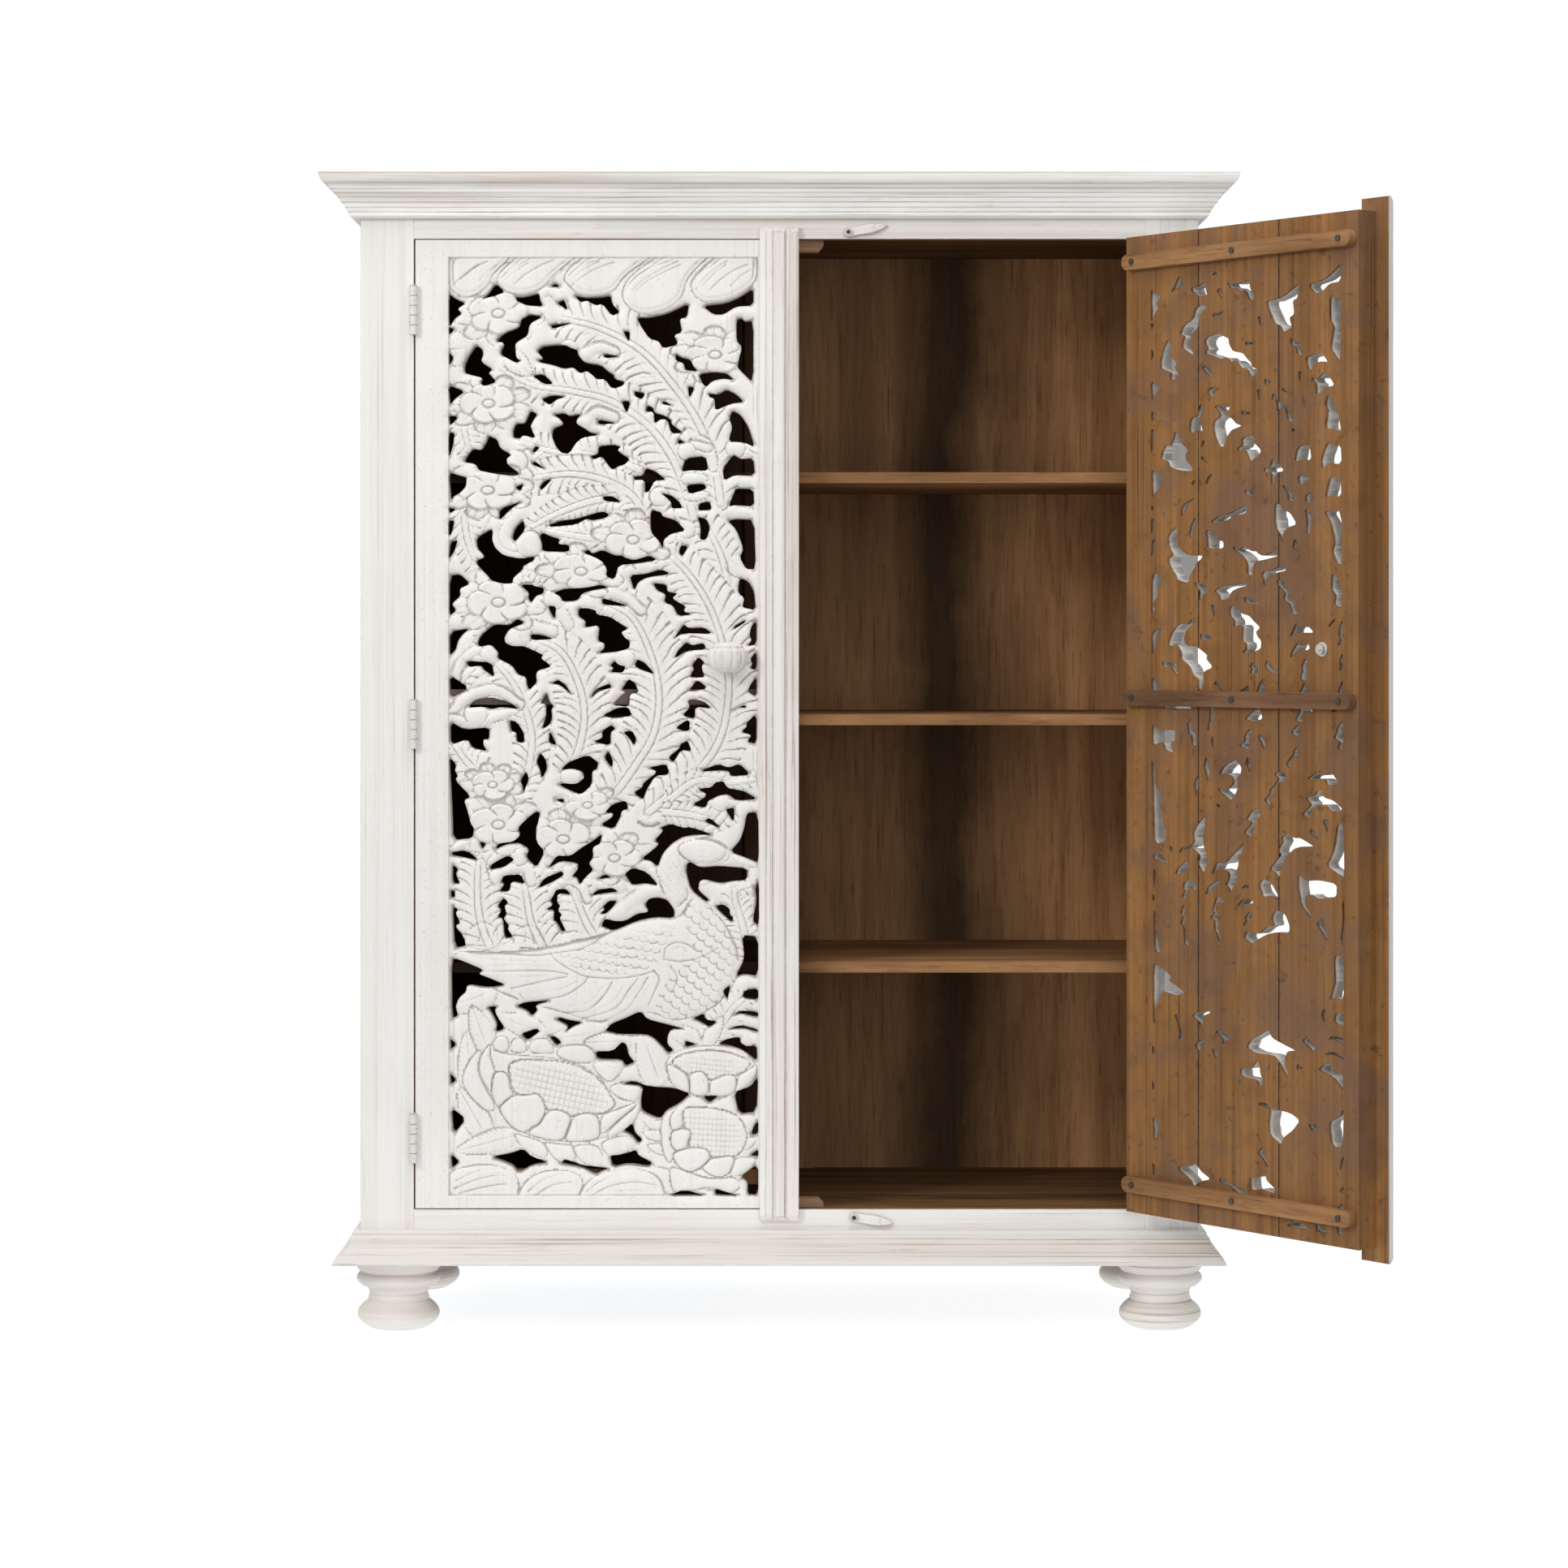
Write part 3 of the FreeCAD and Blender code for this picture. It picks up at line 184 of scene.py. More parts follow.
# Holes of the carved field, in pixels of the photograph, by zone from the top down
hole_corners_px = {
    "top": """
552,402 560,405 553,413; 553,433 559,441 553,451; 552,532 560,533 558,548 554,562 552,560; 552,511
565,513 554,525; 551,473 573,482 560,491 554,500; 552,360 560,367 574,373 563,380 569,386 560,392
555,401 552,401; 586,424 594,430 595,436 592,445 607,455 601,459 612,470 596,476 591,471 594,465 582,462
572,459 571,450 577,437; 610,348 622,359 610,364 592,369 600,362; 652,386 669,389 652,399 650,413
638,420 634,424 636,441 642,444 636,447 617,437 616,432 621,422 610,420 620,409 639,402 641,392; 653,505
662,510 657,517 655,521 653,525 660,540 645,536 640,540 632,539 631,531 635,521 646,521 649,514; 634,365
645,365 664,360 665,369 669,377 649,376 636,370; 659,549 665,551 659,557 655,557; 655,462 669,460
682,473 670,473; 666,491 680,486 698,488 685,492 677,499; 684,348 690,353 677,353; 677,399 707,397
681,405; 695,368 700,383 685,372; 681,510 695,508 701,512 716,509 710,517 710,522 720,527 726,532
739,535 717,539 709,546 701,559 692,558 685,551 679,537 681,527 694,522 690,516; 661,432 667,426 682,424
696,424 704,428 711,430 712,437 720,446 740,449 749,457 756,461 757,466 770,470 767,475 754,479 745,467
735,467 723,456 715,460 706,452 695,454 680,449 665,446 662,443 669,441; 707,363 720,366 740,365 752,363
754,374 764,384 754,389 742,374 734,376 723,370 715,372; 736,516 761,521 737,523; 744,435 766,439
744,441; 765,493 777,494 772,510; 767,407 776,408 775,422; 781,481 795,484 791,492 782,488; 797,499
805,502 806,508 820,512 827,517 827,522 842,533 827,534 822,517 814,516 806,522 805,507 795,507; 784,390
800,390 822,385 849,372 846,391 837,392 840,409 830,412 836,424 817,429 811,420 800,417 789,401; 817,493
831,501 815,497; 836,540 844,545 834,547; 832,435 840,440 850,442 854,450 860,457 844,456 842,447
832,444; 847,475 856,477 849,491; 860,460 880,457 895,459 905,468 890,466 877,469 871,476 866,474;
872,484 885,485 895,479 907,485 917,495 900,497 881,506 880,491 874,489; 865,376 895,372 911,365 928,354
928,376 907,377 891,387 879,387; 902,505 912,510 922,525 930,551 917,545 897,544 902,525 898,515;
907,392 914,391 917,395 928,394 928,472 915,459 908,452 910,441 914,427 907,419
""",
    "upper": """
552,641 560,641 556,658 552,660; 552,625 562,627 554,633; 554,667 564,665 559,680 552,690; 553,709
566,707 579,719 566,725 567,734 556,744 562,752 552,760; 553,778 579,774 570,781 564,789 561,801
553,809; 552,581 564,585 575,588 574,599 567,607 559,611 555,618; 601,536 612,541 616,552 630,560
624,565 625,572 641,584 631,586 605,583 589,579 585,571 571,569 575,560 582,552 592,554 599,543; 586,662
605,651 607,655 606,665 610,675 620,684 640,688 659,685 657,691 644,697 644,701 632,712 631,719 620,719
604,715 601,710 587,696 586,690 597,686 587,675; 644,617 630,626 614,642 615,626; 644,640 647,652
634,668 630,662 634,650; 645,595 641,605 634,600; 640,720 656,720 657,722 670,724 669,731 660,734
654,743 650,737 651,730; 657,567 674,579 655,572; 653,781 667,782 683,787 654,789; 681,589 667,604
664,600 670,592; 664,660 668,656 677,660 690,664 687,670 701,671 701,680 667,679 667,670; 674,746
685,747 683,764; 681,730 695,725 720,724 740,720 750,724 730,727 717,731 711,740 692,741 690,735;
674,647 690,641 709,639 742,629 751,634 745,638 730,641 722,639 710,646 680,649; 712,749 724,749 734,752
735,757 752,760 762,767 774,774 765,779 769,785 776,790 775,799 759,803 736,805 744,799 744,792 736,790
738,770 720,773 721,765 712,759; 737,549 755,547 765,550 760,555 776,565 770,572 762,574 754,579 747,570
741,562 731,566 727,561 736,559; 742,611 755,611 766,619 744,617; 741,737 752,739 776,747 742,745;
717,680 725,677 729,682 742,677 757,684 766,684 770,687 780,690 800,684 810,690 785,694 762,696 757,714
746,710 747,700 740,690; 775,708 795,707 814,701 827,707 797,711 786,717 781,728; 795,576 807,580
821,591 806,592 800,605 794,607 794,591 781,591 780,587 792,585; 801,627 815,631 816,636 832,640 845,654
827,657 817,665 817,677 812,667 801,655; 804,718 821,720 822,729 835,731 827,737 845,747 842,753 853,757
835,759 829,746 818,742 820,732 809,727; 814,607 827,610 836,617 841,626 827,626 826,617; 839,671
848,673 840,686 836,680; 842,769 849,774 867,773 879,781 840,780 829,788 835,779; 844,564 869,561
873,580 852,579 839,581; 845,597 867,595 871,602 849,609; 859,636 870,639 875,650 870,665 862,665
863,650; 861,620 874,617 877,628 860,629; 903,559 912,565 928,564 930,586 905,585 892,592 890,577;
917,764 919,766 903,776 905,771; 906,601 928,602 929,624 906,622 897,624 904,607; 896,641 907,639
929,640 931,701 919,701 911,686 916,676 907,652; 912,712 922,716 929,729 931,752 914,748 917,737 909,730
910,717; 932,764 925,772 923,783 926,789 920,796 932,794
""",
    "middle": """
553,831 579,848 554,861; 553,932 562,942 560,950 564,956 560,961 580,982 571,986 576,1000 580,1015
584,1020 582,1033 557,1036 556,1000 554,960; 554,889 572,899 603,896 602,911 595,911 595,918 600,926
581,922 575,911 554,918; 573,814 606,816 609,835 595,825 592,820 577,822; 575,872 585,862 605,859
625,864 641,874 617,871 605,874 595,871; 637,762 647,767 627,775 621,785 622,792 630,796 645,796 657,801
669,807 666,811 680,821 662,826 660,832 661,841 652,850 649,847 647,834 637,831 630,820 612,811 613,804
604,794 590,797 587,792 592,782 605,771 611,769 627,770; 627,887 636,889 645,902 646,915 636,915 635,902
629,901; 648,950 652,960 643,980 644,971 640,962; 665,927 672,935 674,947 667,960 664,947 660,939;
673,853 677,865 682,870 679,874 680,885 677,893 667,899 672,882 672,867 665,867; 677,900 686,919
675,915; 683,985 694,984 695,990; 687,837 697,844 705,857 690,844 679,842; 724,930 737,939 735,948
729,950 729,967 715,980 701,974 688,967 692,965 710,966 719,959 717,951 705,947 690,949 700,939; 750,842
754,847 737,852 727,861 732,850; 753,893 758,898 752,902 752,919 730,914 742,909 741,901; 749,925
755,937 754,947 744,934; 771,986 774,997 766,999 764,1007 756,1022 739,1017 754,1007 755,1002 744,1002
754,991; 757,814 762,819 771,821 767,829 751,828 756,823 751,820; 760,872 774,871 779,882 756,885
741,882; 774,836 782,841 787,853 776,855 775,871 754,869 765,857 771,853 765,850; 767,902 779,900
784,911 781,919 775,910; 785,812 795,817 807,831 789,825 781,820; 821,941 824,952 821,955 807,956
796,974 792,986 780,977 791,970 792,965 810,951 798,946; 847,912 852,926 839,924 829,940 823,933 837,922
838,917; 846,887 850,889 849,900 842,901 832,897; 845,791 852,795 867,792 870,800 845,802 830,812
835,801; 850,861 867,864 877,873 856,871 856,886 840,882 850,871 847,865; 859,837 872,848 851,852
849,850; 860,809 868,816 864,821 868,834 860,835 849,834 855,824 852,820; 859,972 877,970 881,964
891,962 896,971 915,974 934,985 907,987 897,979 887,980 872,987 869,996 852,992 872,980; 860,951 885,941
897,946 911,941 925,955 900,957 897,949; 893,997 905,995 904,1014; 901,876 917,868 920,872 909,872;
932,879 919,891 920,895 913,902 926,906 920,914 932,917; 932,833 924,844 921,852 932,859; 932,802
924,812 927,817 924,824 932,825
""",
    "lower": """
555,1097 560,1098 560,1106 555,1106; 557,1065 564,1071 561,1077 567,1089 557,1089; 557,1116 564,1121
561,1125 567,1138 560,1141 571,1154 574,1166 559,1169; 556,1050 570,1048 580,1051 590,1061 572,1057
556,1054; 555,1181 567,1183 596,1195 589,1200 605,1206 624,1214 602,1218 575,1214 574,1222 565,1230
561,1240 564,1252 556,1256; 590,1037 599,1039 594,1047; 600,1241 612,1240 609,1245 612,1252 621,1266
618,1270 610,1272 612,1262 605,1248; 602,1072 605,1065 625,1054 634,1059 620,1069; 620,1106 626,1112
621,1117 624,1126 620,1132 627,1141 625,1145 632,1155 621,1157 619,1132 612,1131 617,1122 612,1117;
620,1079 642,1077 647,1090 630,1086 627,1099 614,1099 621,1090 616,1087; 660,1000 665,1001 663,1012
660,1022 661,1037 671,1050 660,1070 647,1057 651,1047 639,1039 625,1040 609,1047 614,1039 632,1037
640,1030 637,1021 647,1010; 635,1240 647,1235 681,1232 659,1239 662,1245 655,1253 649,1246; 662,1095
670,1082 693,1073 694,1079 680,1087; 685,1096 697,1095 704,1103 687,1101 686,1112 690,1116 687,1122
692,1127 689,1132 697,1147 692,1149 685,1137 681,1135 682,1122 672,1121 681,1115 677,1111 681,1104;
684,1256 690,1254 700,1257 718,1260 705,1266 696,1272 700,1265; 702,1055 720,1042 729,1037 742,1027
739,1040 730,1044 731,1056 725,1064 731,1072 720,1082 714,1091 710,1082 704,1080 711,1072 711,1064
690,1061 674,1071 681,1061 686,1054; 735,1084 745,1077 754,1081; 727,1104 737,1096 755,1094 762,1099
745,1101; 760,1110 754,1119 745,1127 739,1126 745,1120 741,1119 750,1110; 741,1139 745,1132 757,1135
770,1135 785,1126 799,1124 794,1115 800,1107 811,1106 822,1109 831,1122 830,1132 807,1131 785,1135
755,1148 741,1142; 769,1077 779,1069 797,1075 812,1092 795,1089 778,1091 774,1085; 813,1020 827,1015
841,1020 851,1019 880,1029 855,1029 840,1032 827,1040 816,1052 810,1069 801,1061 789,1059 812,1041
806,1036 817,1024; 853,1255 867,1249 869,1256 884,1259 874,1267 865,1261; 846,1064 851,1062 862,1069
887,1067 921,1070 920,1085 905,1086 887,1089 867,1084 861,1087 860,1097 874,1109 870,1112 851,1097
845,1075; 874,1007 890,1022 867,1012; 900,1213 896,1233 890,1221; 880,1117 891,1114 899,1120 899,1127
903,1130 902,1138; 895,1269 912,1263 934,1269 934,1272 915,1267; 903,1251 912,1245 934,1247 934,1254
912,1249; 920,1001 934,1001 935,1064 925,1060 899,1050 912,1035 917,1020; 914,1152 934,1154 934,1204
917,1201 906,1204 917,1182; 917,1220 934,1218 934,1233 914,1230; 935,1084 930,1095 932,1110 927,1135
935,1142
""",
    "bottom": """
554,1279 562,1287 555,1294; 554,1322 562,1331 555,1337; 555,1422 566,1432 556,1441; 555,1365 574,1379
558,1399; 604,1426 630,1421 644,1416 655,1425 676,1433 655,1437 639,1446 630,1436; 641,1274 661,1267
665,1271 649,1283; 676,1277 684,1277 692,1285 685,1289; 690,1434 696,1428 717,1436 752,1440 742,1443
734,1448 717,1439; 733,1296 755,1295 766,1284 772,1287 774,1300 782,1310 770,1315 766,1307 735,1306;
751,1424 765,1423 784,1417 786,1424 804,1433 799,1439 775,1435 754,1439; 767,1394 779,1384 782,1396
792,1405 786,1410 779,1400; 744,1271 754,1261 770,1255 789,1246 797,1256 820,1262 845,1268 827,1269
822,1277 822,1287 830,1295 823,1299 816,1291 805,1280 795,1276 762,1276; 765,1336 780,1332 800,1339
832,1341 851,1348 837,1361 820,1370 813,1381 790,1370 789,1357 792,1339; 822,1474 842,1466 872,1474;
844,1282 859,1287 844,1291; 865,1351 886,1350 874,1360; 881,1474 881,1465 895,1469 912,1474; 884,1287
895,1280 912,1278 912,1285 920,1290 932,1288 933,1309 917,1296 902,1290; 934,1325 925,1339 904,1346
910,1374 932,1372; 934,1434 912,1450 921,1457 921,1474 934,1474; 934,1381 929,1387 925,1399 934,1398;
934,1416 924,1424 934,1426
""",
}

# The carved field is drawn once on a raster in the photograph's pixels, and then laid on both doors
field_left, field_right = 552, 935
field_top, field_bottom = 316, 1474
raster_step = 0.75
raster_margin = 24
raster_x = np.arange(field_left - raster_margin, field_right + raster_margin, raster_step)
raster_y = np.arange(field_top - raster_margin, field_bottom + raster_margin, raster_step)


def limited(value):
    """A value held between nothing and one."""
    return np.clip(value, 0, 1)


def mark(distance, width, power=2):
    """One where the distance is nothing, fading over the width."""
    return np.exp(-(distance / width)**power)


def swell(share, power=2):
    """A round rise: one where the share is nothing, and nothing where it is one."""
    return np.sqrt(limited(1 - share**power))


def rotated(x, y, turn):
    """Places in axes turned by an angle."""
    return x * math.cos(turn) + y * math.sin(turn), y * math.cos(turn) - x * math.sin(turn)


class Raster:
    """Values over the carved field, changed window by window."""

    def __init__(self, value):
        self.values = np.full((len(raster_y), len(raster_x)), float(value))

    def window(self, low, high):
        """The rows and columns between two corners, and their pixel places."""
        columns = slice(*np.searchsorted(raster_x, (low[0], high[0])))
        rows = slice(*np.searchsorted(raster_y, (low[1], high[1])))
        x, y = np.meshgrid(raster_x[columns], raster_y[rows])
        return (rows, columns), x, y

    def around(self, x0, y0, across, up):
        """The rows and columns within two reaches of a place, and how far they lie from it."""
        patch, x, y = self.window((x0 - across, y0 - up), (x0 + across, y0 + up))
        return patch, x - x0, y - y0

    def at(self, x, y):
        """Values between the raster's points."""
        short_of_end = 1.001
        across = np.clip((x - raster_x[0]) / raster_step, 0, len(raster_x) - short_of_end)
        down = np.clip((y - raster_y[0]) / raster_step, 0, len(raster_y) - short_of_end)
        column, row = across.astype(int), down.astype(int)
        right, low = across - column, down - row
        above = self.values[row, column] * (1 - right) + self.values[row, column + 1] * right
        below = self.values[row + 1, column] * (1 - right) + self.values[row + 1, column + 1] * right
        return above * (1 - low) + below * low


def to_segments(x, y, corners, closed):
    """Distance to a line of corners, the length along it to the nearest place, and the side it lies on."""
    ends = np.roll(corners, -1, axis=0) if closed else corners[1:]
    starts = corners if closed else corners[:-1]
    best = np.full(x.shape, np.inf)
    along = np.zeros(x.shape)
    side = np.ones(x.shape)
    passed = 0.0
    for start, end in zip(starts, ends):
        step = end - start
        length = math.hypot(*step)
        if not length:
            continue
        share = ((x - start[0]) * step[0] + (y - start[1]) * step[1]) / length**2
        near = limited(share)
        away = np.hypot(x - start[0] - near * step[0], y - start[1] - near * step[1])
        closer = away < best
        best = np.where(closer, away, best)
        along = np.where(closer, passed + near * length, along)
        turn = (x - start[0]) * step[1] - (y - start[1]) * step[0]
        side = np.where(closer, np.sign(turn), side)
        passed += length
    return best, along, side


def inside(x, y, corners):
    """Which places lie inside a closed outline."""
    found = np.zeros(x.shape, bool)
    for (x1, y1), (x2, y2) in zip(corners, np.roll(corners, -1, axis=0)):
        if y1 == y2:
            continue
        crossing = (x2 - x1) * (y - y1) / (y2 - y1) + x1
        found ^= ((y1 > y) != (y2 > y)) & (x < crossing)
    return found


def softened(corners, share=0.18):
    """Cut each corner of a closed outline at a share of its sides."""
    ahead = np.roll(corners, -1, axis=0)
    cut = np.stack([corners + (ahead - corners) * share, ahead + (corners - ahead) * share], axis=1)
    return cut.reshape(-1, 2)


def picked(text):
    """Places written as x,y pairs."""
    return np.array([place.split(",") for place in text.split()], float)


def flowing(places):
    """A smooth line through given places."""
    pieces = 6
    ends = np.concatenate([[2 * places[0] - places[1]], places, [2 * places[-1] - places[-2]]])
    shares = (np.arange(pieces) / pieces)[:, None]
    line = []
    for a, b, c, d in zip(ends, ends[1:], ends[2:], ends[3:]):
        line.append(0.5 * (2 * b + (c - a) * shares + (2 * a - 5 * b + 4 * c - d) * shares**2
                           + (3 * b - a - 3 * c + d) * shares**3))
    return np.concatenate(line + [places[-1:]])


# How far each place lies from the nearest hole, less than nothing inside one
hole_reach = 14
clearance = Raster(hole_reach)
for zone in hole_corners_px.values():
    for text in zone.split(";"):
        corners = softened(picked(text))
        patch, x, y = clearance.window(corners.min(0) - hole_reach, corners.max(0) + hole_reach)
        away, _, _ = to_segments(x, y, corners, True)
        away = np.where(inside(x, y, corners), -away, away)
        clearance.values[patch] = np.minimum(clearance.values[patch], away)

# Carving depth below the boards' front, in millimetres, with softly rounded strips between the holes
depth = Raster(0)
ground_depth = 5.2
relief = 1.3
strip_rise, strip_width = 2.4, 5.0
in_field = ((raster_x > field_left) & (raster_x < field_right))[None, :] & (
    (raster_y > field_top) & (raster_y < field_bottom))[:, None]
depth.values[in_field] = ground_depth
strips = 1 - np.exp(-np.clip(clearance.values, 0, None) / strip_width)
depth.values -= np.where(in_field, strip_rise * strips, 0)

# How far inside a hole's outline scroll ends and leaf rings are still drawn, in pixels
hole_overlap = 2


def raised(patch, height, within):
    """Set the carving to a height above the ground where it is within a form."""
    depth.values[patch] = np.where(within, ground_depth - relief * height, depth.values[patch])


def plume(text, widths, pitch):
    """A feather or leaf with leaflets that lean towards its tip, drawn along its spine from the tip."""
    lean, lean_loss = 1.1, 0.42
    sway_share, sway_wave = 0.16, 0.13
    rise, crown_rise, notch_drop, rim_drop = 2.3, 1.3, 1.9, 0.5
    overlap_share, notch_share = 0.12, 0.08
    combs, comb_drop, comb_sway, comb_wave = 3, 0.65, 0.2, 0.4
    rib_start, rib_growth, rib_rise = 2.4, 1.8, 1.0
    vein_drop, vein_width = 0.6, 0.9
    cut_drop, cut_width, cut_offset = 0.8, 0.9, 0.6
    line = flowing(picked(text))
    length = np.hypot(*np.diff(line, axis=0).T).sum()
    patch, x, y = depth.window(line.min(0) - max(widths), line.max(0) + max(widths))
    away, along, side = to_segments(x, y, line, False)
    half = np.interp(along / length, np.linspace(0, 1, len(widths)), widths)
    across = limited(away / half)
    sway = sway_share * np.sin(along * sway_wave + 2 * side)
    place = (along + lean * away * (1 - lean_loss * across)) / pitch + np.where(side > 0, 0.5, 0.0) + sway
    leaflet = place % 1
    uneven = 0.8 + 0.4 * np.sin(np.floor(place) * 12.9 + 3 * side)
    overlap = leaflet**0.7 * (1 - mark(1 - leaflet, overlap_share))
    crown = crown_rise * uneven * overlap * (0.25 + across)
    notch = notch_drop * limited(across * 1.6 - 0.35) * mark(np.minimum(leaflet, 1 - leaflet), notch_share)
    combed = comb_drop * np.abs(np.cos(np.pi * (combs * place + comb_sway * np.sin(along * comb_wave))))**8
    combed *= limited(1.4 - across) * limited(across * 4 - 0.6)
    height = rise * (0.55 + 0.45 * swell(across)) + crown - notch - combed - rim_drop * across**4
    rib = rib_start + rib_growth * along / length
    stem = rise + rib_rise * swell(away / rib) - vein_drop * mark(away, vein_width)
    height = np.where(away < rib, stem, height) - cut_drop * mark(away - rib - cut_offset, cut_width)
    raised(patch, height, (away < half) & (along > 0) & (along < length))


def band(text, half):
    """A rounded scroll band with a groove inside each edge."""
    rise, groove_share, groove_drop, groove_width = 2.4, 0.62, 0.6, 0.9
    line = flowing(picked(text))
    patch, x, y = depth.window(line.min(0) - half, line.max(0) + half)
    away, _, _ = to_segments(x, y, line, False)
    height = rise * swell(away / half) - groove_drop * mark(away - groove_share * half, groove_width)
    raised(patch, height, away < half)


def leaf_ring(x0, y0, across, up, turn):
    """Pointed leaves spreading from behind a flower."""
    count, span_share, reach_share, tip_share = 9, 1.7, 1.16, 0.44
    rise, vein_drop, vein_share, rib_drop, ribs = 1.5, 0.6, 0.09, 0.25, 5
    patch, x, y = depth.around(x0, y0, span_share * across, span_share * up)
    u, v = x / across, y / up
    radius, angle = np.hypot(u, v), np.arctan2(v, u) + turn
    lobe = np.abs(np.cos(angle * count / 2))
    reach = reach_share + tip_share * lobe**0.7
    height = rise * swell(radius / reach, 4) * (0.55 + 0.45 * lobe**0.5)
    height -= vein_drop * mark(np.sin(angle * count / 2), vein_share)
    height -= rib_drop * np.abs(np.sin(angle * count * ribs / 2))**6
    raised(patch, height, (radius < reach) & (clearance.values[patch] > -hole_overlap))


def flower(x0, y0, across, up, petals, turn):
    """A flower of rounded, slightly cupped petals about a dotted boss."""
    span_share, reach_share, tip_share, swirl_share = 1.1, 0.74, 0.28, 0.6
    rise, cup_rise, tilt_rise = 2.5, 0.7, 1.1
    lip_rise, lip_share, lip_width, rim_share = 0.5, 0.07, 0.06, 0.09
    gap_drop, gap_share = 1.9, 0.14
    crease_drop, crease_place_share, crease_share = 0.3, 0.14, 0.035
    crease_reach_share, crease_length_share = 0.48, 0.15
    boss_rise, boss_share, eye_drop, eye_share = 0.9, 0.15, 0.9, 0.05
    ring_drop, ring_reach_share, ring_share = 1.1, 0.21, 0.045
    patch, x, y = depth.around(x0, y0, span_share * across, span_share * up)
    u, v = x / across, y / up
    heading = np.arctan2(v, u)
    radius, angle = np.hypot(u, v), heading + turn + 0.15 * np.sin(heading * 2 + turn * 3)
    petal = ((angle + swirl_share * (radius - swirl_share)) * petals / (2 * np.pi)) % 1 - 0.5
    lobe = np.cos(np.pi * petal)
    reach = reach_share + tip_share * lobe**0.45
    from_rim = reach - radius
    height = rise + cup_rise * limited(radius) * lobe + tilt_rise * petal * limited(radius * 1.4 - 0.3)
    height += lip_rise * mark(from_rim - lip_share, lip_width)
    height *= np.sqrt(limited(from_rim / rim_share))
    height -= gap_drop * mark(lobe, gap_share) * limited((radius - 0.36) / 0.3)
    creased = mark(np.abs(petal) - crease_place_share, crease_share)
    height -= crease_drop * creased * mark(radius - crease_reach_share, crease_length_share)
    height += boss_rise * mark(radius, boss_share, 4) - eye_drop * mark(radius, eye_share)
    height -= ring_drop * mark(radius - ring_reach_share, ring_share)
    raised(patch, height, radius < reach)


def curl(x0, y0, reach, turn):
    """The round end of a scroll, with a spiral groove."""
    rise, windings, groove_drop, groove_share = 3.0, 1.6, 0.5, 0.12
    patch, x, y = depth.around(x0, y0, reach, reach)
    radius = np.hypot(x, y) / reach
    angle = np.arctan2(y, x) + turn
    wound = (radius * windings - angle / (2 * np.pi)) % 1
    height = rise * swell(radius, 3) - groove_drop * mark(wound - 0.5, groove_share) * radius
    raised(patch, height, (radius < 1) & (clearance.values[patch] > -hole_overlap))


def domed(text, rise, rim, groove=0.0):
    """A closed form that rises from its outline, grooved inside its rim; returns its patch and mask."""
    margin, cut_share, groove_share, groove_width = 2, 0.25, 2.2, 1.1
    corners = picked(text)
    outline = softened(softened(corners, cut_share), cut_share)
    patch, x, y = depth.window(corners.min(0) - margin, corners.max(0) + margin)
    away, _, _ = to_segments(x, y, outline, True)
    within = inside(x, y, outline)
    height = rise * (1 - np.exp(-away / rim))
    if groove:
        height -= groove * mark(away - rim * groove_share, groove_width)
    raised(patch, height, within)
    return patch, x, y, within


def leaf(x0, y0, length, width, angle):
    """A pointed leaf with a middle vein and side veins, its tip along the angle."""
    margin, rise, narrowing = 2, 2.6, 0.35
    vein_drop, vein_share, side_drop, side_pitch, side_lean = 0.7, 0.07, 0.45, 6.5, 0.9
    thinnest_share = 0.01
    reach = max(length, width) + margin
    patch, x, y = depth.around(x0, y0, reach, reach)
    u, v = rotated(x, y, math.radians(angle))
    u, v = u / length, v / width
    half = swell(u) * (1 - narrowing * u)
    across = np.abs(v) / np.maximum(half, thinnest_share)
    height = rise * swell(across, 2.4) * (0.6 + 0.4 * limited(1 - u))
    side_veins = np.abs(np.cos(np.pi * (u * length - side_lean * np.abs(v) * width) / side_pitch))**8
    height -= vein_drop * mark(v, vein_share) + side_drop * side_veins * limited(across * 4 - 0.5)
    raised(patch, height, (across < 1) & (np.abs(u) < 1))


def grooved(lines, deep, wide):
    """Cut grooves along given lines."""
    margin = 5
    for text in lines.strip().split("\n"):
        line = flowing(picked(text))
        patch, x, y = depth.window(line.min(0) - margin, line.max(0) + margin)
        away, _, _ = to_segments(x, y, line, False)
        depth.values[patch] += deep * mark(away, wide)


def hatched(x, y, turn, pitch_along, pitch_across):
    """Two crossing families of fine grooves, from nothing to one."""
    u, v = rotated(x, y, turn)
    first = np.abs(np.cos(np.pi * u / pitch_along))**3
    second = np.abs(np.cos(np.pi * v / pitch_across))**3
    return np.maximum(first, second)


def scaly(x, y, turn, pitch):
    """Rows of overlapping scales outlined by fine grooves, from nothing to one."""
    scale_share, groove_share = 0.56, 0.17
    u, v = rotated(x, y, turn)
    u, v = u / pitch, v / pitch
    row = np.floor(v)
    u = (u + 0.5 * (row % 2)) % 1 - 0.5
    return mark(np.hypot(u, v - row) / scale_share - 1, groove_share)


